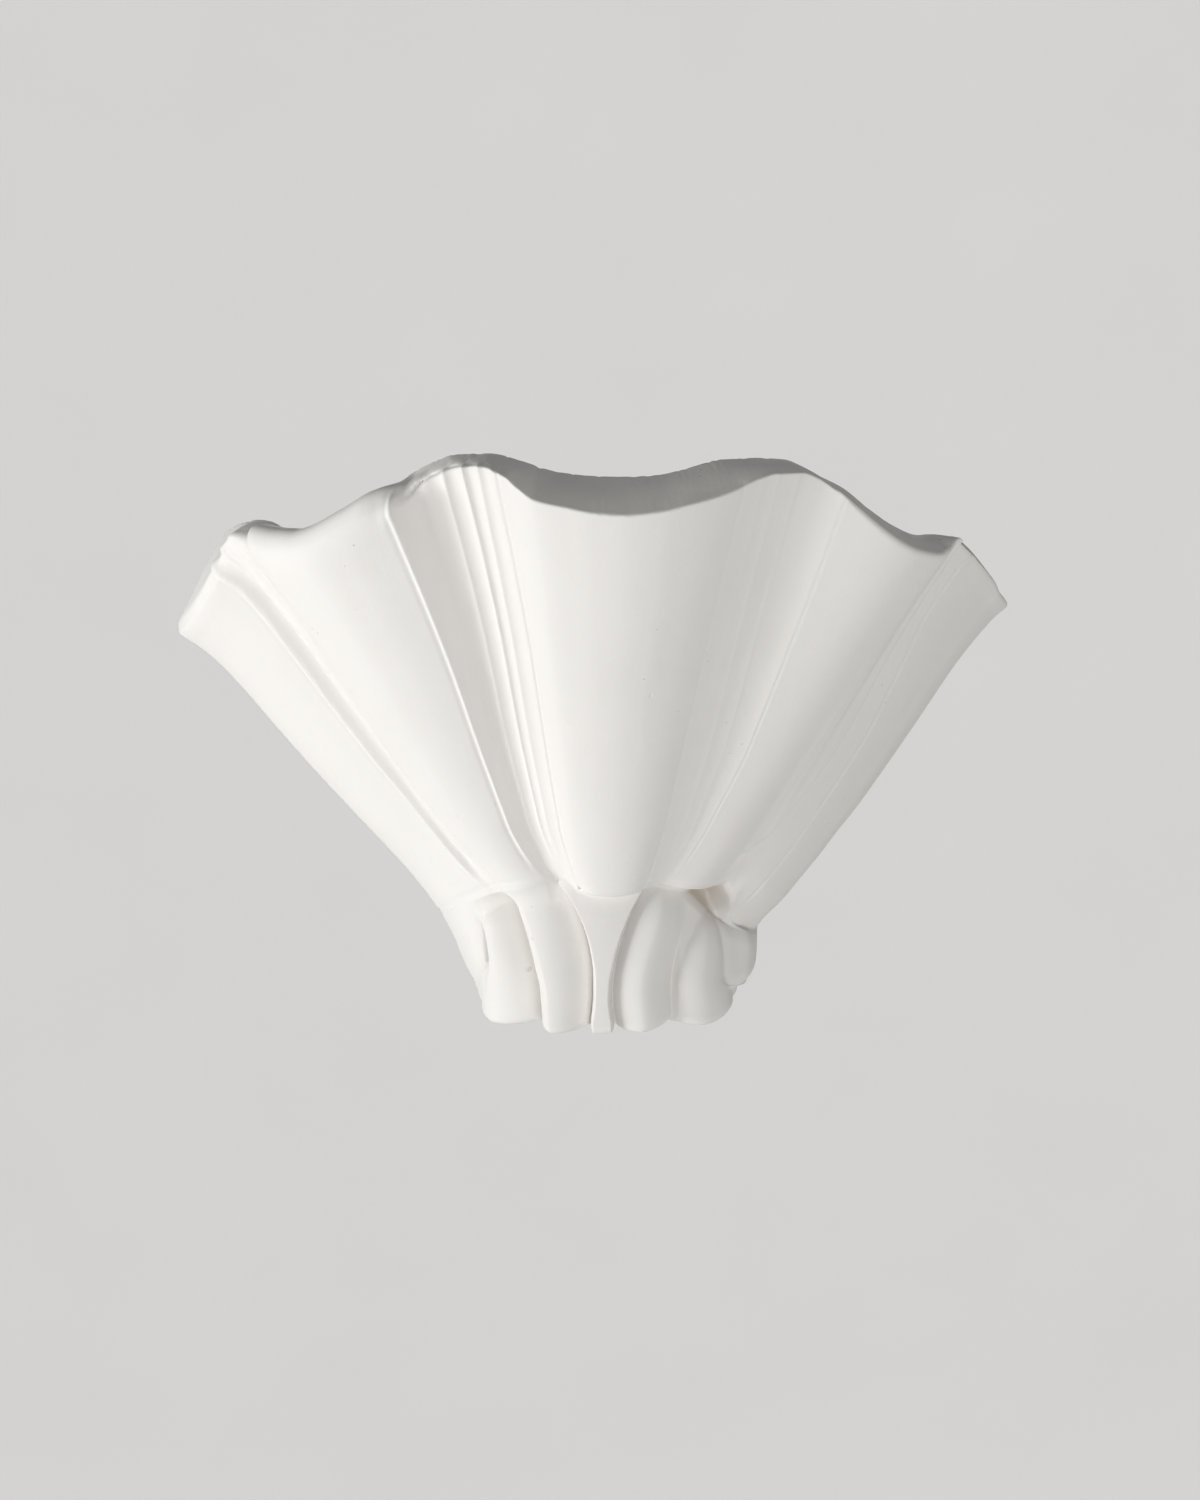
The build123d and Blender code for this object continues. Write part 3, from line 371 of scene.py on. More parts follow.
def base_radius(angle, share, lip):
    """Outer face of the base: rounded lobes, one keystone, and the recess under the panels."""
    height = share * lip
    crest = base_crest(angle, share)
    kl, kr = smooth(KEY_LEFT, height), smooth(KEY_RIGHT, height)
    cl, cr = smooth(CREASE_LEFT, height), smooth(CREASE_RIGHT, height)
    ol, oright = smooth(OUTER_LEFT, height), smooth(OUTER_RIGHT, height)
    # on the left the lobes' tops run out into a bright hollow curve under the panels
    sweep = 1 - ease((angle + 24) / 10)
    start = lip - 15 + 7 * bump(angle, -47, 9)
    run_out = sweep * np.clip((height - start) / (lip - 3 - start), 0, 1) ** 2
    crest = crest + (at_lip(angle) - 0.5 - crest) * run_out
    shallow = 1 - ease((height - start) / (lip - 2 - start)) * (0.1 + 0.9 * sweep)
    above = above_recess(angle, height)
    recess = ease((above - 1) / 9) * ease((angle - 29) / 6) * (1 - ease((angle - 49) / 7))
    depth = LOBE_DEPTH + LEFT_DEEPER * ease((-angle - 2) / 8) + RECESS_DEEPER * recess
    depth = (depth + SIDE_DEEPER * ease((-angle - 30) / 6)) * shallow
    depth = depth * (1 - 0.75 * ease((-angle - 55) / 5))
    knob_top = smooth(RIGHT_TOP, angle)
    shoulder = 0.4 * (1 - ease((above + 5) / 10))
    shoulder = shoulder * ease((angle - 27) / 4) * (1 - ease((angle - 48) / 5))
    knob = lobe(angle, height, 36, 200, 11, knob_top, 9, 0.3)
    union = 6
    face = np.zeros_like(crest)
    for part in (lobe(angle, height, cl, kl + 4, -60, 90, 24, 0.24),
                 lobe(angle, height, kr - 1.5, cr, -60, 65, 18, 0.42),
                 lobe(angle, height, ol, cl, -60, 56.5, 13, 0.25),
                 lobe(angle, height, cr, oright + 5, -60, knob_top + 1.5, 16, 0.34),
                 lobe(angle, height, -112, ol, 4, 62, 14),
                 knob * (0.72 + 0.26 * ease((angle - 50) / 8)), shoulder):
        face = face + part ** union
    face = np.minimum(face ** (1 / union), 1)
    # keystone, flush with the lobes beside it, with a bevel down each side
    width = crest * pi / 180
    bevel = np.minimum((angle - kl) * width / BEVEL_LEFT, (kr - angle) * width / BEVEL_RIGHT)
    keystone = (KEY_SUNK + KEY_PROUD) * ease(bevel) ** 0.8 - KEY_SUNK
    level = np.maximum((face - 1) * depth, np.where(bevel > 0, keystone, -99))
    leaf = bump(angle, -56.5 - (height - 29) * 0.15, 1.4) * bump(height, 29, 4.5)
    level = level - 1.3 * leaf
    fullness = np.where(bevel > 0, np.maximum(face, 0.95 * ease(bevel * 2)), face)
    return crest + level, np.clip(fullness, 0, 1)


def chips(angle, seed, many, deepest):
    """Sum of small notches along an edge (mm)."""
    rng = np.random.default_rng(seed)
    total = np.zeros_like(angle)
    for _ in range(many):
        at = rng.uniform(-88, 88)
        width = rng.uniform(0.12, 0.5)
        total = total + deepest * rng.uniform(0.2, 1) ** 2 * bump(angle, at, width)
    return total


def rim_rows(angle, rim_z, inner_z, last, inner_end, front_round, add):
    """Rounded front edge, end face and rounded back edge of the rim; one soft roll on the left."""
    one = np.ones_like(angle)
    corner_r = to_edges(angle, wall_radius(angle, one) + wall_relief(angle, one), rim_z)
    corner_r = corner_r + 0.35 * uneven(angle, rim_z, 1)
    corner = np.stack([corner_r, rim_z])
    back = np.stack([inner_radius(angle, one), inner_z])
    length = np.hypot(*(back - corner))
    along = (back - corner) / length
    back_round = BACK_SOFT + chips(angle, 7, 90, 1.3)
    end = corner + along * np.minimum(front_round, length * 0.6)
    start = back - along * np.minimum(back_round, length * 0.3)
    normal = np.stack([along[1], -along[0]])
    # the wall's ridges fade just behind the front edge, toward this smoothed edge
    spread = 14
    plain = np.convolve(np.pad(corner_r, spread, mode="edge"),
                        np.ones(2 * spread + 1) / (2 * spread + 1), "valid")
    roll = ease((-angle - 28.5) / 8) * (1 - ease((-angle - 54.5) / 4))
    lean = (corner - last) / np.maximum(np.hypot(*(corner - last)), 0.1)
    tall = smooth(ROLL_CREST, angle) - rim_z
    belly = corner + np.stack([0.6 * one, 0.42 * tall])
    crest = corner + np.stack([-5.5 * one, tall])
    stations = (last, corner + lean * 1.2, belly, corner + np.stack([0.5 * one, tall]), crest,
                corner + np.stack([-13 * one, tall]), start)
    leg_rows = RIM_ROWS // 3
    for k in range(1, RIM_ROWS + 1):
        if k < leg_rows:
            p = arc(last, corner, end, k / leg_rows)
        else:
            t = (k - leg_rows) / (RIM_ROWS - leg_rows)
            swell = (0.5 + 0.35 * uneven(angle * 3, rim_z + 40 * t, 4)) * sin(pi * t)
            fade = ease(t / 0.2) * (1 - ease((t - 0.3) / 0.7))
            p = end + (start - end) * t + normal * swell
            p = p + np.stack([(plain - corner_r) * fade, 0 * rim_z])
        leg = min((k - 1) // leg_rows, 2)
        soft_p = arc(*stations[2 * leg:2 * leg + 3], (k - leg_rows * leg) / leg_rows)
        add(*(p + (soft_p - p) * roll))
    for k in range(1, BACK_ROWS):
        add(*arc(start, back, inner_end, k / BACK_ROWS))


def shell_grid():
    """Rows of points from the middle of the underside, up the outside and down the inside (mm)."""
    fine = np.linspace(-40, 40, 401)
    side = np.linspace(40, 89.7, 208)[1:]
    angle = np.concatenate([[-90], -side[::-1], fine, side, [90]])
    one = np.ones_like(angle)
    lip = smooth(LIP, angle)
    hollow_lip = smooth(LIP, -np.abs(angle))
    rim_z, inner_z = smooth(RIM_OUTER, angle), smooth(RIM_INNER, angle)
    rows = []

    def add(radius, height):
        rows.append((np.broadcast_to(radius, angle.shape), np.broadcast_to(height, angle.shape)))

    low_share, top_share = FOOT_ROUND_HEIGHT / lip, 1 - 3.0 / lip
    foot, fullness = base_radius(angle, low_share, lip)
    foot = to_edges(angle, foot, FOOT_ROUND_HEIGHT * one)
    scallop = FOOT_SCALLOP * (1 - fullness) ** 0.8
    for part in UNDERSIDE_SHARES:
        add(foot * part, scallop * ease((part - 0.5) / 0.38))
    for turn in FOOT_TURNS:
        a = radians(turn)
        add(foot - FOOT_ROUND_REACH + FOOT_ROUND_REACH * sin(a) ** 0.9,
            scallop + (FOOT_ROUND_HEIGHT - scallop) * (1 - cos(a)))
    for k in range(BASE_ROWS):
        share = low_share + (top_share - low_share) * k / (BASE_ROWS - 1)
        radius, _ = base_radius(angle, share, lip)
        add(to_edges(angle, radius, share * lip), share * lip)
    # small cove and lip under the panels
    start_r, start_z = rows[-1]
    first_r = to_edges(angle, at_lip(angle), lip)
    for k in range(1, COVE_ROWS + 1):
        t = k / COVE_ROWS
        add(start_r + (first_r - 0.5 - start_r) * ease(t) ** 1.1,
            start_z + (lip - start_z) * (t ** 0.7) * 0.9)
    # how far the front edge of the rim is rounded: sharp in the middle, soft at the sides
    soft = RIM_SOFT + 7.0 * ease((-angle - 31.5) / 3) + 2.0 * ease((angle - 29) / 5)
    soft = soft - 5.5 * ease((-angle - 54) / 9) - 2.0 * ease((angle - 50) / 4)
    worn = np.where(np.abs(angle) < 9, 1.0, 0.3)
    front_round = soft + chips(angle, 3, 70, 0.9) + worn * chips(angle, 5, 260, 0.8)
    front_round = front_round + 0.8 * bump(angle, -29.5, 1.6) * (1 + np.sin(angle * 19))
    highest = 1 - 0.7 * soft / (rim_z - lip)
    for k in range(WALL_ROWS):
        rise = 0.004 + (k / (WALL_ROWS - 1)) ** 0.97 * (highest - 0.004)
        height = lip + (rim_z - lip) * rise
        radius = to_edges(angle, wall_radius(angle, rise) + wall_relief(angle, rise), height)
        curl = np.clip(1 - rise / 0.02, 0, 1)
        add(radius + 0.35 * uneven(angle, height, 1) - 0.8 * curl ** 2, height)
    # hollow, whose wall starts just under the rim's back edge
    inner_top = 0.975
    inner_end = np.stack([inner_radius(angle, inner_top * one),
                          hollow_lip + (inner_z - hollow_lip) * inner_top])
    rim_rows(angle, rim_z, inner_z, np.stack(rows[-1]), inner_end, front_round, add)
    for k in range(HOLLOW_ROWS):
        rise = inner_top * (1 - k / (HOLLOW_ROWS - 1)) * one
        height = hollow_lip + (inner_z - hollow_lip) * rise
        add(inner_radius(angle, rise) + 0.5 * uneven(angle, height, 9) * np.sin(pi * rise), height)
    # rounded corner down to the floor of the hollow
    wall_foot = np.stack([inner_radius(angle, 0 * one), hollow_lip])
    floor_edge = np.stack([CAVITY_FLOOR_RADIUS * one, CAVITY_FLOOR * one])
    floor_in = np.stack([(CAVITY_FLOOR_RADIUS - CORNER_REACH) * one, CAVITY_FLOOR * one])
    for k in range(1, CORNER_ROWS + 1):
        add(*arc(wall_foot, floor_edge, floor_in, k / CORNER_ROWS))
    for part in FLOOR_SHARES:
        add((CAVITY_FLOOR_RADIUS - CORNER_REACH) * part, CAVITY_FLOOR)
    radius = np.array([r for r, _ in rows])
    height = np.array([z for _, z in rows])
    return angle, radius, height


def painted_recess_shade(angle, radius, height):
    """Share of painted brown shade, in the deep recess on the right."""
    rows = np.arange(radius.shape[0])[:, None]
    deep = ease((above_recess(angle, height) + 0.5) / 6)
    deep = deep * ease((angle - 29) / 6) * (1 - ease((angle - 47) / 9))
    return 0.75 * deep * (1 - ease((rows - BASE_END - 1) / COVE_ROWS))


def pit(radius, height, angle, at_angle, at_height, size, deep):
    """Small round pit in the outer face."""
    across = (angle[None, :] - at_angle) * radius * pi / 180
    far = np.hypot(across, height - at_height)
    near = np.exp(-(far / size) ** 2)
    outer = np.arange(radius.shape[0])[:, None] < WALL_END + 4
    return radius - deep * near * outer


def build_shell():
    """The cast shell as one closed mesh with a flat back."""
    angle, radius, height = shell_grid()
    for at_angle, at_height, size, deep in PITS:
        radius = pit(radius, height, angle, at_angle, at_height, size, deep)
    rows, cols = radius.shape
    turn = np.radians(angle)[None, :]
    x = radius * np.sin(turn)
    y = -radius * np.cos(turn)
    z = height - BASE_DROP + 0 * y
    # arris against the wall: inward on the outside of the shell, outward in the hollow
    inward = np.where(np.arange(rows) < WALL_END + 16, 1, -1)
    for col, side in ((0, -1), (cols - 1, 1)):
        x[:, col] = x[:, col] - side * ARRIS * (radius[:, col] > 2) * inward
        y[:, col] = 0
    x = np.clip(x, cad_low.x / MM, cad_high.x / MM)
    y = np.clip(y, cad_low.y / MM, 0)
    z = np.clip(z, cad_low.z / MM, cad_high.z / MM)
    # the first and last rows each meet in one point
    points = np.stack([x, y, z], -1)[1:-1].reshape(-1, 3)
    ring = np.arange((rows - 2) * cols).reshape(rows - 2, cols)
    corners = (ring[:-1, :-1], ring[1:, :-1], ring[1:, 1:], ring[:-1, 1:])
    faces = [tuple(quad) for quad in np.stack(corners, -1).reshape(-1, 4).tolist()]
    under = len(points)
    floor = under + 1
    points = np.vstack([points, [[0, 0, -BASE_DROP], [0, 0, CAVITY_FLOOR - BASE_DROP]]])
    first, last = ring[0].tolist(), ring[-1].tolist()
    faces.extend((under, a, b) for a, b in zip(first, first[1:]))
    faces.extend((floor, b, a) for a, b in zip(last, last[1:]))
    back_loop = [under] + ring[:, -1].tolist() + [floor] + ring[::-1, 0].tolist()
    mesh = bpy.data.meshes.new("shell_cast")
    smooth_count = len(faces)
    faces.append(tuple(back_loop))
    mesh.from_pydata((points * MM).tolist(), [], faces)
    mesh.update()
    # painted shade: share of a brown darkening of the plaster in the deep recess on the right, kept
    # on the points
    painted_shade = mesh.attributes.new("painted_recess_shade", "FLOAT", "POINT")
    values = np.append(painted_recess_shade(angle, radius, height)[1:-1].reshape(-1), (0, 0))
    painted_shade.data.foreach_set("value", values.astype(np.float32))
    flags = np.ones(len(mesh.polygons), bool)
    flags[smooth_count:] = False
    mesh.polygons.foreach_set("use_smooth", flags)
    loop = set(zip(back_loop, back_loop[1:] + back_loop[:1]))
    sharp = mesh.attributes.new("sharp_edge", "BOOLEAN", "EDGE")
    ends = np.empty(len(mesh.edges) * 2, np.int32)
    mesh.edges.foreach_get("vertices", ends)
    marks = [(a, b) in loop or (b, a) in loop for a, b in ends.reshape(-1, 2).tolist()]
    sharp.data.foreach_set("value", marks)
    piece = bpy.data.objects.new("shell_cast", mesh)
    bpy.context.scene.collection.objects.link(piece)
    return piece


# ------------------------------------------------------------------ materials

class Shader:
    """Small helper that builds a node material around one Principled shader."""

    def __init__(self, name):
        self.material = bpy.data.materials.new(name)
        self.material.use_nodes = True
        self.tree = self.material.node_tree
        self.out = self.tree.nodes["Material Output"]
        self.main = self.tree.nodes["Principled BSDF"]
        self.coords = self.node("ShaderNodeTexCoord").outputs["Object"]

    def node(self, kind, **settings):
        made = self.tree.nodes.new(kind)
        for key, value in settings.items():
            setattr(made, key, value)
        return made

    def link(self, a, b):
        self.tree.links.new(a, b)

    def stretched(self, scale):
        mapping = self.node("ShaderNodeMapping")
        mapping.inputs["Scale"].default_value = scale
        self.link(self.coords, mapping.inputs["Vector"])
        return mapping.outputs["Vector"]

    def noise(self, scale, detail=4, rough=0.55, vector=None):
        made = self.node("ShaderNodeTexNoise")
        made.inputs["Scale"].default_value = scale
        made.inputs["Detail"].default_value = detail
        made.inputs["Roughness"].default_value = rough
        self.link(vector or self.coords, made.inputs["Vector"])
        return made.outputs["Fac"]

    def cells(self, scale):
        made = self.node("ShaderNodeTexVoronoi")
        made.inputs["Scale"].default_value = scale
        self.link(self.coords, made.inputs["Vector"])
        return made.outputs["Distance"]

    def span(self, value, low, high, to_low=0.0, to_high=1.0):
        made = self.node("ShaderNodeMapRange")
        made.inputs["From Min"].default_value = low
        made.inputs["From Max"].default_value = high
        made.inputs["To Min"].default_value = to_low
        made.inputs["To Max"].default_value = to_high
        self.link(value, made.inputs["Value"])
        return made.outputs["Result"]

    def math(self, operation, a, b):
        made = self.node("ShaderNodeMath", operation=operation)
        for socket, value in zip(made.inputs, (a, b)):
            if isinstance(value, (int, float)):
                socket.default_value = value
            else:
                self.link(value, socket)
        return made.outputs[0]

    def mix(self, share, a, b):
        made = self.node("ShaderNodeMix", data_type="RGBA")
        if isinstance(share, (int, float)):
            made.inputs[0].default_value = share
        else:
            self.link(share, made.inputs[0])
        for socket, value in ((made.inputs[6], a), (made.inputs[7], b)):
            if isinstance(value, tuple):
                socket.default_value = (*value, 1)
            else:
                self.link(value, socket)
        return made.outputs[2]

    def bump(self, *layers):
        """Each layer is (value, height in metres)."""
        normal = None
        for value, height in layers:
            made = self.node("ShaderNodeBump")
            made.inputs["Strength"].default_value = 1.0
            made.inputs["Distance"].default_value = height
            self.link(value, made.inputs["Height"])
            if normal:
                self.link(normal, made.inputs["Normal"])
            normal = made.outputs["Normal"]
        self.link(normal, self.main.inputs["Normal"])

    def set(self, **values):
        """Plain values go straight to the shader's own sockets."""
        for key, value in values.items():
            socket = self.main.inputs[key.replace("_", " ")]
            if isinstance(value, bpy.types.NodeSocket):
                self.link(value, socket)
            elif isinstance(value, tuple) and len(value) == 3 and socket.type == "RGBA":
                socket.default_value = (*value, 1)
            else:
                socket.default_value = value
        return self


def plaster():
    """Cast plaster with broad tints, streaks, pin holes and painted brown shade in the recess on
    the right.
    """
    s = Shader("cast_plaster")
    broad = s.noise(9, 3, 0.5)
    fine = s.noise(140, 5, 0.6)
    grain = s.noise(900, 3, 0.6)
    bubbles = s.span(s.cells(210), 0.035, 0.075)
    streaks = s.noise(60, 3, 0.6, s.stretched((1, 1, 0.12)))
    colour = s.mix(s.span(broad, 0.3, 0.7), (0.835, 0.817, 0.79), (0.875, 0.858, 0.832))
    colour = s.mix(s.span(streaks, 0.55, 0.8, 0, 0.35), colour, (0.82, 0.798, 0.765))
    colour = s.mix(s.span(fine, 0.62, 0.8, 0, 0.25), colour, (0.785, 0.76, 0.725))
    sparse = s.span(s.noise(26, 2, 0.5), 0.56, 0.62)
    pin = s.math("MULTIPLY", s.math("SUBTRACT", 1.0, bubbles), sparse)
    colour = s.mix(s.math("MULTIPLY", pin, 0.55), colour, (0.5, 0.47, 0.43))
    # painted shade: the plaster turns brown, in blotches, in the deep recess on the right where
    # shade falls
    painted_shade = s.node("ShaderNodeAttribute", attribute_name="painted_recess_shade").outputs["Fac"]
    patchy_shade = s.math("MULTIPLY", painted_shade, s.span(s.noise(45, 4, 0.6), 0.25, 0.6, 0.65, 1.0))
    colour = s.mix(patchy_shade, colour, (0.5, 0.43, 0.34))
    s.set(Base_Color=colour, Roughness=s.span(fine, 0.3, 0.7, 0.62, 0.8), Specular_IOR_Level=0.35)
    s.bump((grain, 0.00004), (fine, 0.00012), (streaks, 0.0001),
           (s.math("SUBTRACT", 1.0, pin), 0.0003))
    return s.material


def metal(name, colour, dark, rough, grain, streak):
    """Plated or bare metal with rolled streaks, soft stains and a fine grain."""
    s = Shader(name)
    stain = s.noise(70, 4, 0.6)
    lines = s.noise(300, 3, 0.7, s.stretched(streak))
    tiny = s.noise(grain, 3, 0.6)
    tint = s.mix(s.span(stain, 0.35, 0.7), colour, dark)
    tint = s.mix(s.span(lines, 0.45, 0.75, 0, 0.35), tint, tuple(c * 0.78 for c in dark))
    s.set(Base_Color=tint, Metallic=1.0,
          Roughness=s.span(s.math("ADD", lines, stain), 0.7, 1.3, rough, rough + 0.2))
    s.bump((lines, 0.00004), (tiny, 0.00002))
    return s.material


def plastic(name, colour, speck, rough, coat=0.0):
    """Moulded plastic or rubber with flow marks, faint specks and a fine skin."""
    s = Shader(name)
    flow = s.noise(45, 3, 0.5, s.stretched((1, 1, 0.35)))
    skin = s.noise(600, 3, 0.55)
    specks = s.noise(170, 5, 0.7)
    tint = s.mix(s.span(flow, 0.35, 0.7), colour, tuple(c * 0.86 for c in colour))
    tint = s.mix(s.span(specks, 0.58, 0.74, 0, 0.4), tint, speck)
    s.set(Base_Color=tint, Roughness=s.span(specks, 0.35, 0.7, rough, rough + 0.16),
          Coat_Weight=coat)
    s.bump((skin, 0.00003), (flow, 0.00006))
    return s.material


def opal_glass():
    """White lamp glass, slightly cloudy, with fine dust."""
    s = Shader("opal_glass")
    cloud = s.noise(38, 3, 0.5)
    film = s.noise(420, 4, 0.65)
    tint = s.mix(s.span(cloud, 0.3, 0.7), (0.87, 0.87, 0.85), (0.91, 0.905, 0.885))
    tint = s.mix(s.span(film, 0.62, 0.78, 0, 0.25), tint, (0.78, 0.775, 0.75))
    s.set(Base_Color=tint, Roughness=s.span(film, 0.4, 0.7, 0.14, 0.26), Coat_Weight=0.25,
          Subsurface_Weight=0.35, Subsurface_Scale=0.004)
    s.bump((cloud, 0.00008), (film, 0.00001))
    return s.material


def clear_glass():
    """Clear drawn glass with faint swirls."""
    s = Shader("clear_glass")
    swirl = s.noise(160, 3, 0.5, s.stretched((1, 1, 0.2)))
    s.set(Base_Color=s.mix(s.span(swirl, 0.3, 0.7), (0.86, 0.89, 0.89), (0.93, 0.95, 0.95)),
          Roughness=s.span(swirl, 0.3, 0.7, 0.02, 0.08), Transmission_Weight=1.0)
    s.bump((swirl, 0.00008))
    return s.material


def phosphor():
    """Yellow coating of the light sticks."""
    s = Shader("phosphor_stick")
    grains = s.noise(1500, 3, 0.6)
    cells = s.cells(900)
    tint = s.mix(s.span(grains, 0.35, 0.7), (0.86, 0.62, 0.16), (0.72, 0.46, 0.08))
    tint = s.mix(s.span(cells, 0.3, 0.7, 0, 0.4), tint, (0.93, 0.74, 0.3))
    s.set(Base_Color=tint, Roughness=s.span(grains, 0.3, 0.7, 0.5, 0.7))
    s.bump((grains, 0.00003))
    return s.material


def earth_sleeve():
    """Green sleeve with two yellow stripes along its length."""
    s = Shader("earth_sleeve")
    facing = s.node("ShaderNodeNewGeometry").outputs["Normal"]
    split = s.node("ShaderNodeSeparateXYZ")
    s.link(facing, split.inputs[0])
    stripe = s.span(s.math("ABSOLUTE", split.outputs["Y"], 0), 0.5, 0.56)
    skin = s.noise(800, 3, 0.6)
    tint = s.mix(stripe, (0.075, 0.3, 0.07), (0.78, 0.66, 0.05))
    tint = s.mix(s.span(skin, 0.5, 0.8, 0, 0.3), tint, (0.2, 0.33, 0.08))
    s.set(Base_Color=tint, Roughness=s.span(skin, 0.3, 0.7, 0.38, 0.5))
    s.bump((skin, 0.00002))
    return s.material


def dress(names, material):
    """Give one material to nodes of the frame."""
    for name in names:
        mesh = NODES[name].data
        mesh.materials.clear()
        mesh.materials.append(material)


# ------------------------------------------------------------------ the object

shell = build_shell()
shell.data.materials.append(plaster())
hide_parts("plaster_shell")
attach(shell, "shell")

dress(("hanger_plate_left", "hanger_plate_right", "wall_bracket"),
      metal("zinc_sheet", (0.66, 0.67, 0.69), (0.5, 0.51, 0.53), 0.3, 1200, (0.12, 1, 1)))
dress(("lamp_arm",),
      metal("zinc_arm", (0.67, 0.68, 0.7), (0.5, 0.51, 0.53), 0.3, 1200, (1, 0.12, 0.12)))
dress(("arm_screws", "arm_nuts", "holder_nipple", "holder_nut", "terminal_screws", "block_screw",
       "earth_washer", "earth_screw"),
      metal("screw_zinc", (0.72, 0.71, 0.67), (0.55, 0.54, 0.5), 0.26, 2400, (1, 0.4, 1)))
dress(("holder_dome", "holder_skirt"),
      plastic("holder_case", (0.035, 0.032, 0.03), (0.07, 0.055, 0.045), 0.24, 0.3))
dress(("holder_carrier",),
      plastic("glazed_block", (0.82, 0.81, 0.78), (0.7, 0.68, 0.63), 0.14, 0.6))
dress(("holder_screw_shell", "centre_contact", "side_contact", "contact_screws", "terminal_tubes"),
      metal("brass_part", (0.8, 0.62, 0.32), (0.6, 0.42, 0.19), 0.24, 1800, (1, 1, 0.3)))
dress(("lamp_tip_contact",),
      metal("tinned_tip", (0.6, 0.6, 0.61), (0.42, 0.42, 0.43), 0.35, 1500, (1, 1, 1)))
dress(("lamp_insulator",),
      plastic("black_glass", (0.03, 0.025, 0.035), (0.07, 0.05, 0.07), 0.1, 0.4))
dress(("lamp_cap", "lamp_support", "earth_ring"),
      metal("nickel_skin", (0.73, 0.71, 0.67), (0.56, 0.54, 0.5), 0.2, 2000, (1, 1, 0.25)))
dress(("lamp_envelope",), opal_glass())
dress(("lamp_stem",), clear_glass())
dress(("lamp_filaments",), phosphor())
dress(("terminal_block",), plastic("block_nylon", (0.82, 0.805, 0.75), (0.7, 0.67, 0.6), 0.4))
dress(("cable_grommet",),
      plastic("grommet_rubber", (0.035, 0.035, 0.036), (0.09, 0.085, 0.08), 0.6))
dress(("wire_live",), plastic("sleeve_brown", (0.15, 0.07, 0.04), (0.22, 0.13, 0.09), 0.36))
dress(("wire_neutral",), plastic("sleeve_blue", (0.035, 0.15, 0.42), (0.1, 0.22, 0.45), 0.36))
dress(("wire_earth",), earth_sleeve())

# ------------------------------------------------------------------ stage, light and camera

PALE = (0.80, 0.79, 0.775)
FLOOR_DROP = 1.3                 # far below, so the wall light hangs clear of it
FLOOR_RADIUS = 1.6               # of the flat floor, and of the round rise about it
FLOOR_GLOW = 0.72                # share of plain paper tone that the camera and reflections see
# Lamps: turn to the right of the room side, angle of height (degrees), power (W)
LAMPS = (("key", -70, -8, 15.6), ("fill", 15, -25, 7.6), ("rear", 180, 14, 6.0))
LAMP_SIZE, LAMP_DISTANCE = (0.7, 0.5), 1.5
WORLD_STRENGTH = 0.22
# Camera, fitted to the view in the photograph (degrees, metres, pixels)
VIEW_LEFT, VIEW_ABOVE, VIEW_ROLL = 4.0, 10.0, -0.8
VIEW_DISTANCE, AIM_X, AIM_Z = 0.939989, -0.0000988, -0.0102093
FOCAL_PIXELS, IMAGE_HEIGHT, SENSOR = 2200.0, 1500.0, 36.0


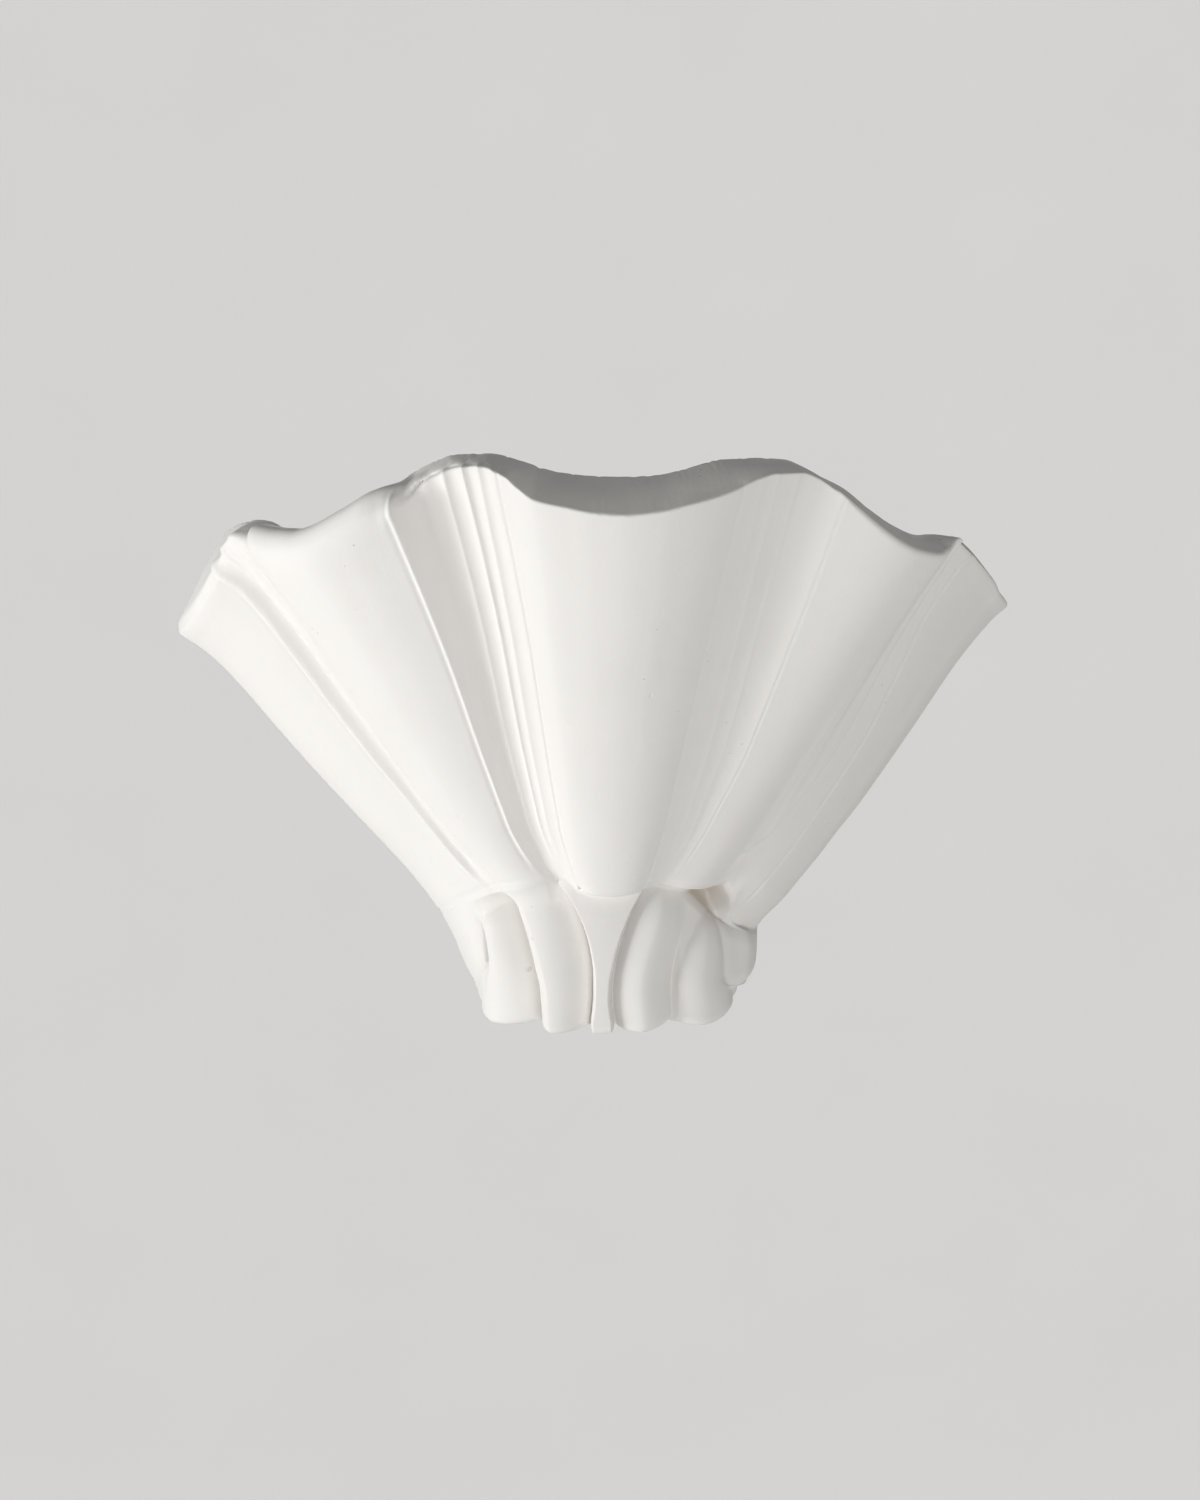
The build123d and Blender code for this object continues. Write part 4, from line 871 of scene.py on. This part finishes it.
def bowl():
    """Seamless floor that rises far away on all sides."""
    bends, around = 12, 96
    profile = [(0.6, 0.0), (FLOOR_RADIUS, 0.0)]
    for k in range(1, bends + 1):
        a = pi / 2 * k / bends
        profile.append((FLOOR_RADIUS * (1 + sin(a)), FLOOR_RADIUS * (1 - cos(a))))
    profile.append((2 * FLOOR_RADIUS, 3.4))
    points, faces = [], []
    for r, z in profile:
        for k in range(around):
            a = 2 * pi * k / around
            points.append((r * cos(a), r * sin(a), z - FLOOR_DROP))
    centre = len(points)
    points.append((0, 0, -FLOOR_DROP))
    for ring in range(len(profile) - 1):
        for k in range(around):
            a, b = ring * around + k, ring * around + (k + 1) % around
            faces.append((a, b, b + around, a + around))
    for k in range(around):
        faces.append((centre, (k + 1) % around, k))
    mesh = bpy.data.meshes.new("stage_floor")
    mesh.from_pydata(points, [], faces)
    mesh.polygons.foreach_set("use_smooth", [True] * len(mesh.polygons))
    floor = bpy.data.objects.new("stage_floor", mesh)
    bpy.context.scene.collection.objects.link(floor)
    s = Shader("stage_paper")
    tint = s.mix(s.span(s.noise(3, 2), 0.3, 0.7), PALE, tuple(c * 1.02 for c in PALE))
    s.set(Base_Color=tint, Roughness=0.9)
    # the paper shows pale to the camera and in reflections, and still takes the shadow
    path = s.node("ShaderNodeLightPath")
    seen = s.math("MAXIMUM", path.outputs["Is Camera Ray"], path.outputs["Is Glossy Ray"])
    seen = s.math("MAXIMUM", seen, path.outputs["Is Transmission Ray"])
    glow = s.node("ShaderNodeEmission")
    s.link(tint, glow.inputs["Color"])
    both = s.node("ShaderNodeMixShader")
    s.link(s.math("MULTIPLY", seen, FLOOR_GLOW), both.inputs[0])
    s.link(s.main.outputs[0], both.inputs[1])
    s.link(glow.outputs[0], both.inputs[2])
    s.link(both.outputs[0], s.out.inputs["Surface"])
    mesh.materials.append(s.material)


def lamp_at(name, turn, height, power):
    """Soft lamp that looks at the middle of the object."""
    turn, height = radians(turn), radians(height)
    place = Vector((sin(turn) * cos(height), -cos(turn) * cos(height), sin(height))) * LAMP_DISTANCE
    lamp = bpy.data.lights.new(name, "AREA")
    lamp.shape = "RECTANGLE"
    lamp.size, lamp.size_y = LAMP_SIZE
    lamp.energy = power
    light = bpy.data.objects.new(name, lamp)
    light.location = place
    light.rotation_euler = (Vector((0, -0.05, 0)) - place).to_track_quat("-Z", "Y").to_euler()
    light.visible_camera = False
    bpy.context.scene.collection.objects.link(light)


def lights():
    for name, turn, height, power in LAMPS:
        lamp_at(name, turn, height, power)
    world = bpy.data.worlds.new("studio")
    world.use_nodes = True
    back = world.node_tree.nodes["Background"]
    back.inputs["Color"].default_value = (1, 1, 1, 1)
    back.inputs["Strength"].default_value = WORLD_STRENGTH
    bpy.context.scene.world = world


def camera():
    a, e, roll = radians(VIEW_LEFT), radians(VIEW_ABOVE), radians(VIEW_ROLL)
    away = Vector((-sin(a) * cos(e), -cos(a) * cos(e), sin(e)))
    right = Vector((cos(a), -sin(a), 0))
    up = Vector((sin(a) * sin(e), cos(a) * sin(e), cos(e)))
    turned_right = right * cos(roll) + up * sin(roll)
    turned_up = up * cos(roll) - right * sin(roll)
    place = Vector((AIM_X, 0, AIM_Z)) + away * VIEW_DISTANCE
    data = bpy.data.cameras.new("camera")
    data.sensor_width = SENSOR
    data.lens = FOCAL_PIXELS * SENSOR / IMAGE_HEIGHT
    data.clip_start, data.clip_end = 0.01, 50
    seat = bpy.data.objects.new("camera", data)
    seat.matrix_world = Matrix(((turned_right.x, turned_up.x, away.x, place.x),
                                (turned_right.y, turned_up.y, away.y, place.y),
                                (turned_right.z, turned_up.z, away.z, place.z),
                                (0, 0, 0, 1)))
    bpy.context.scene.collection.objects.link(seat)
    bpy.context.scene.camera = seat


camera()
bowl()
lights()
bpy.context.scene.view_settings.view_transform = "Standard"
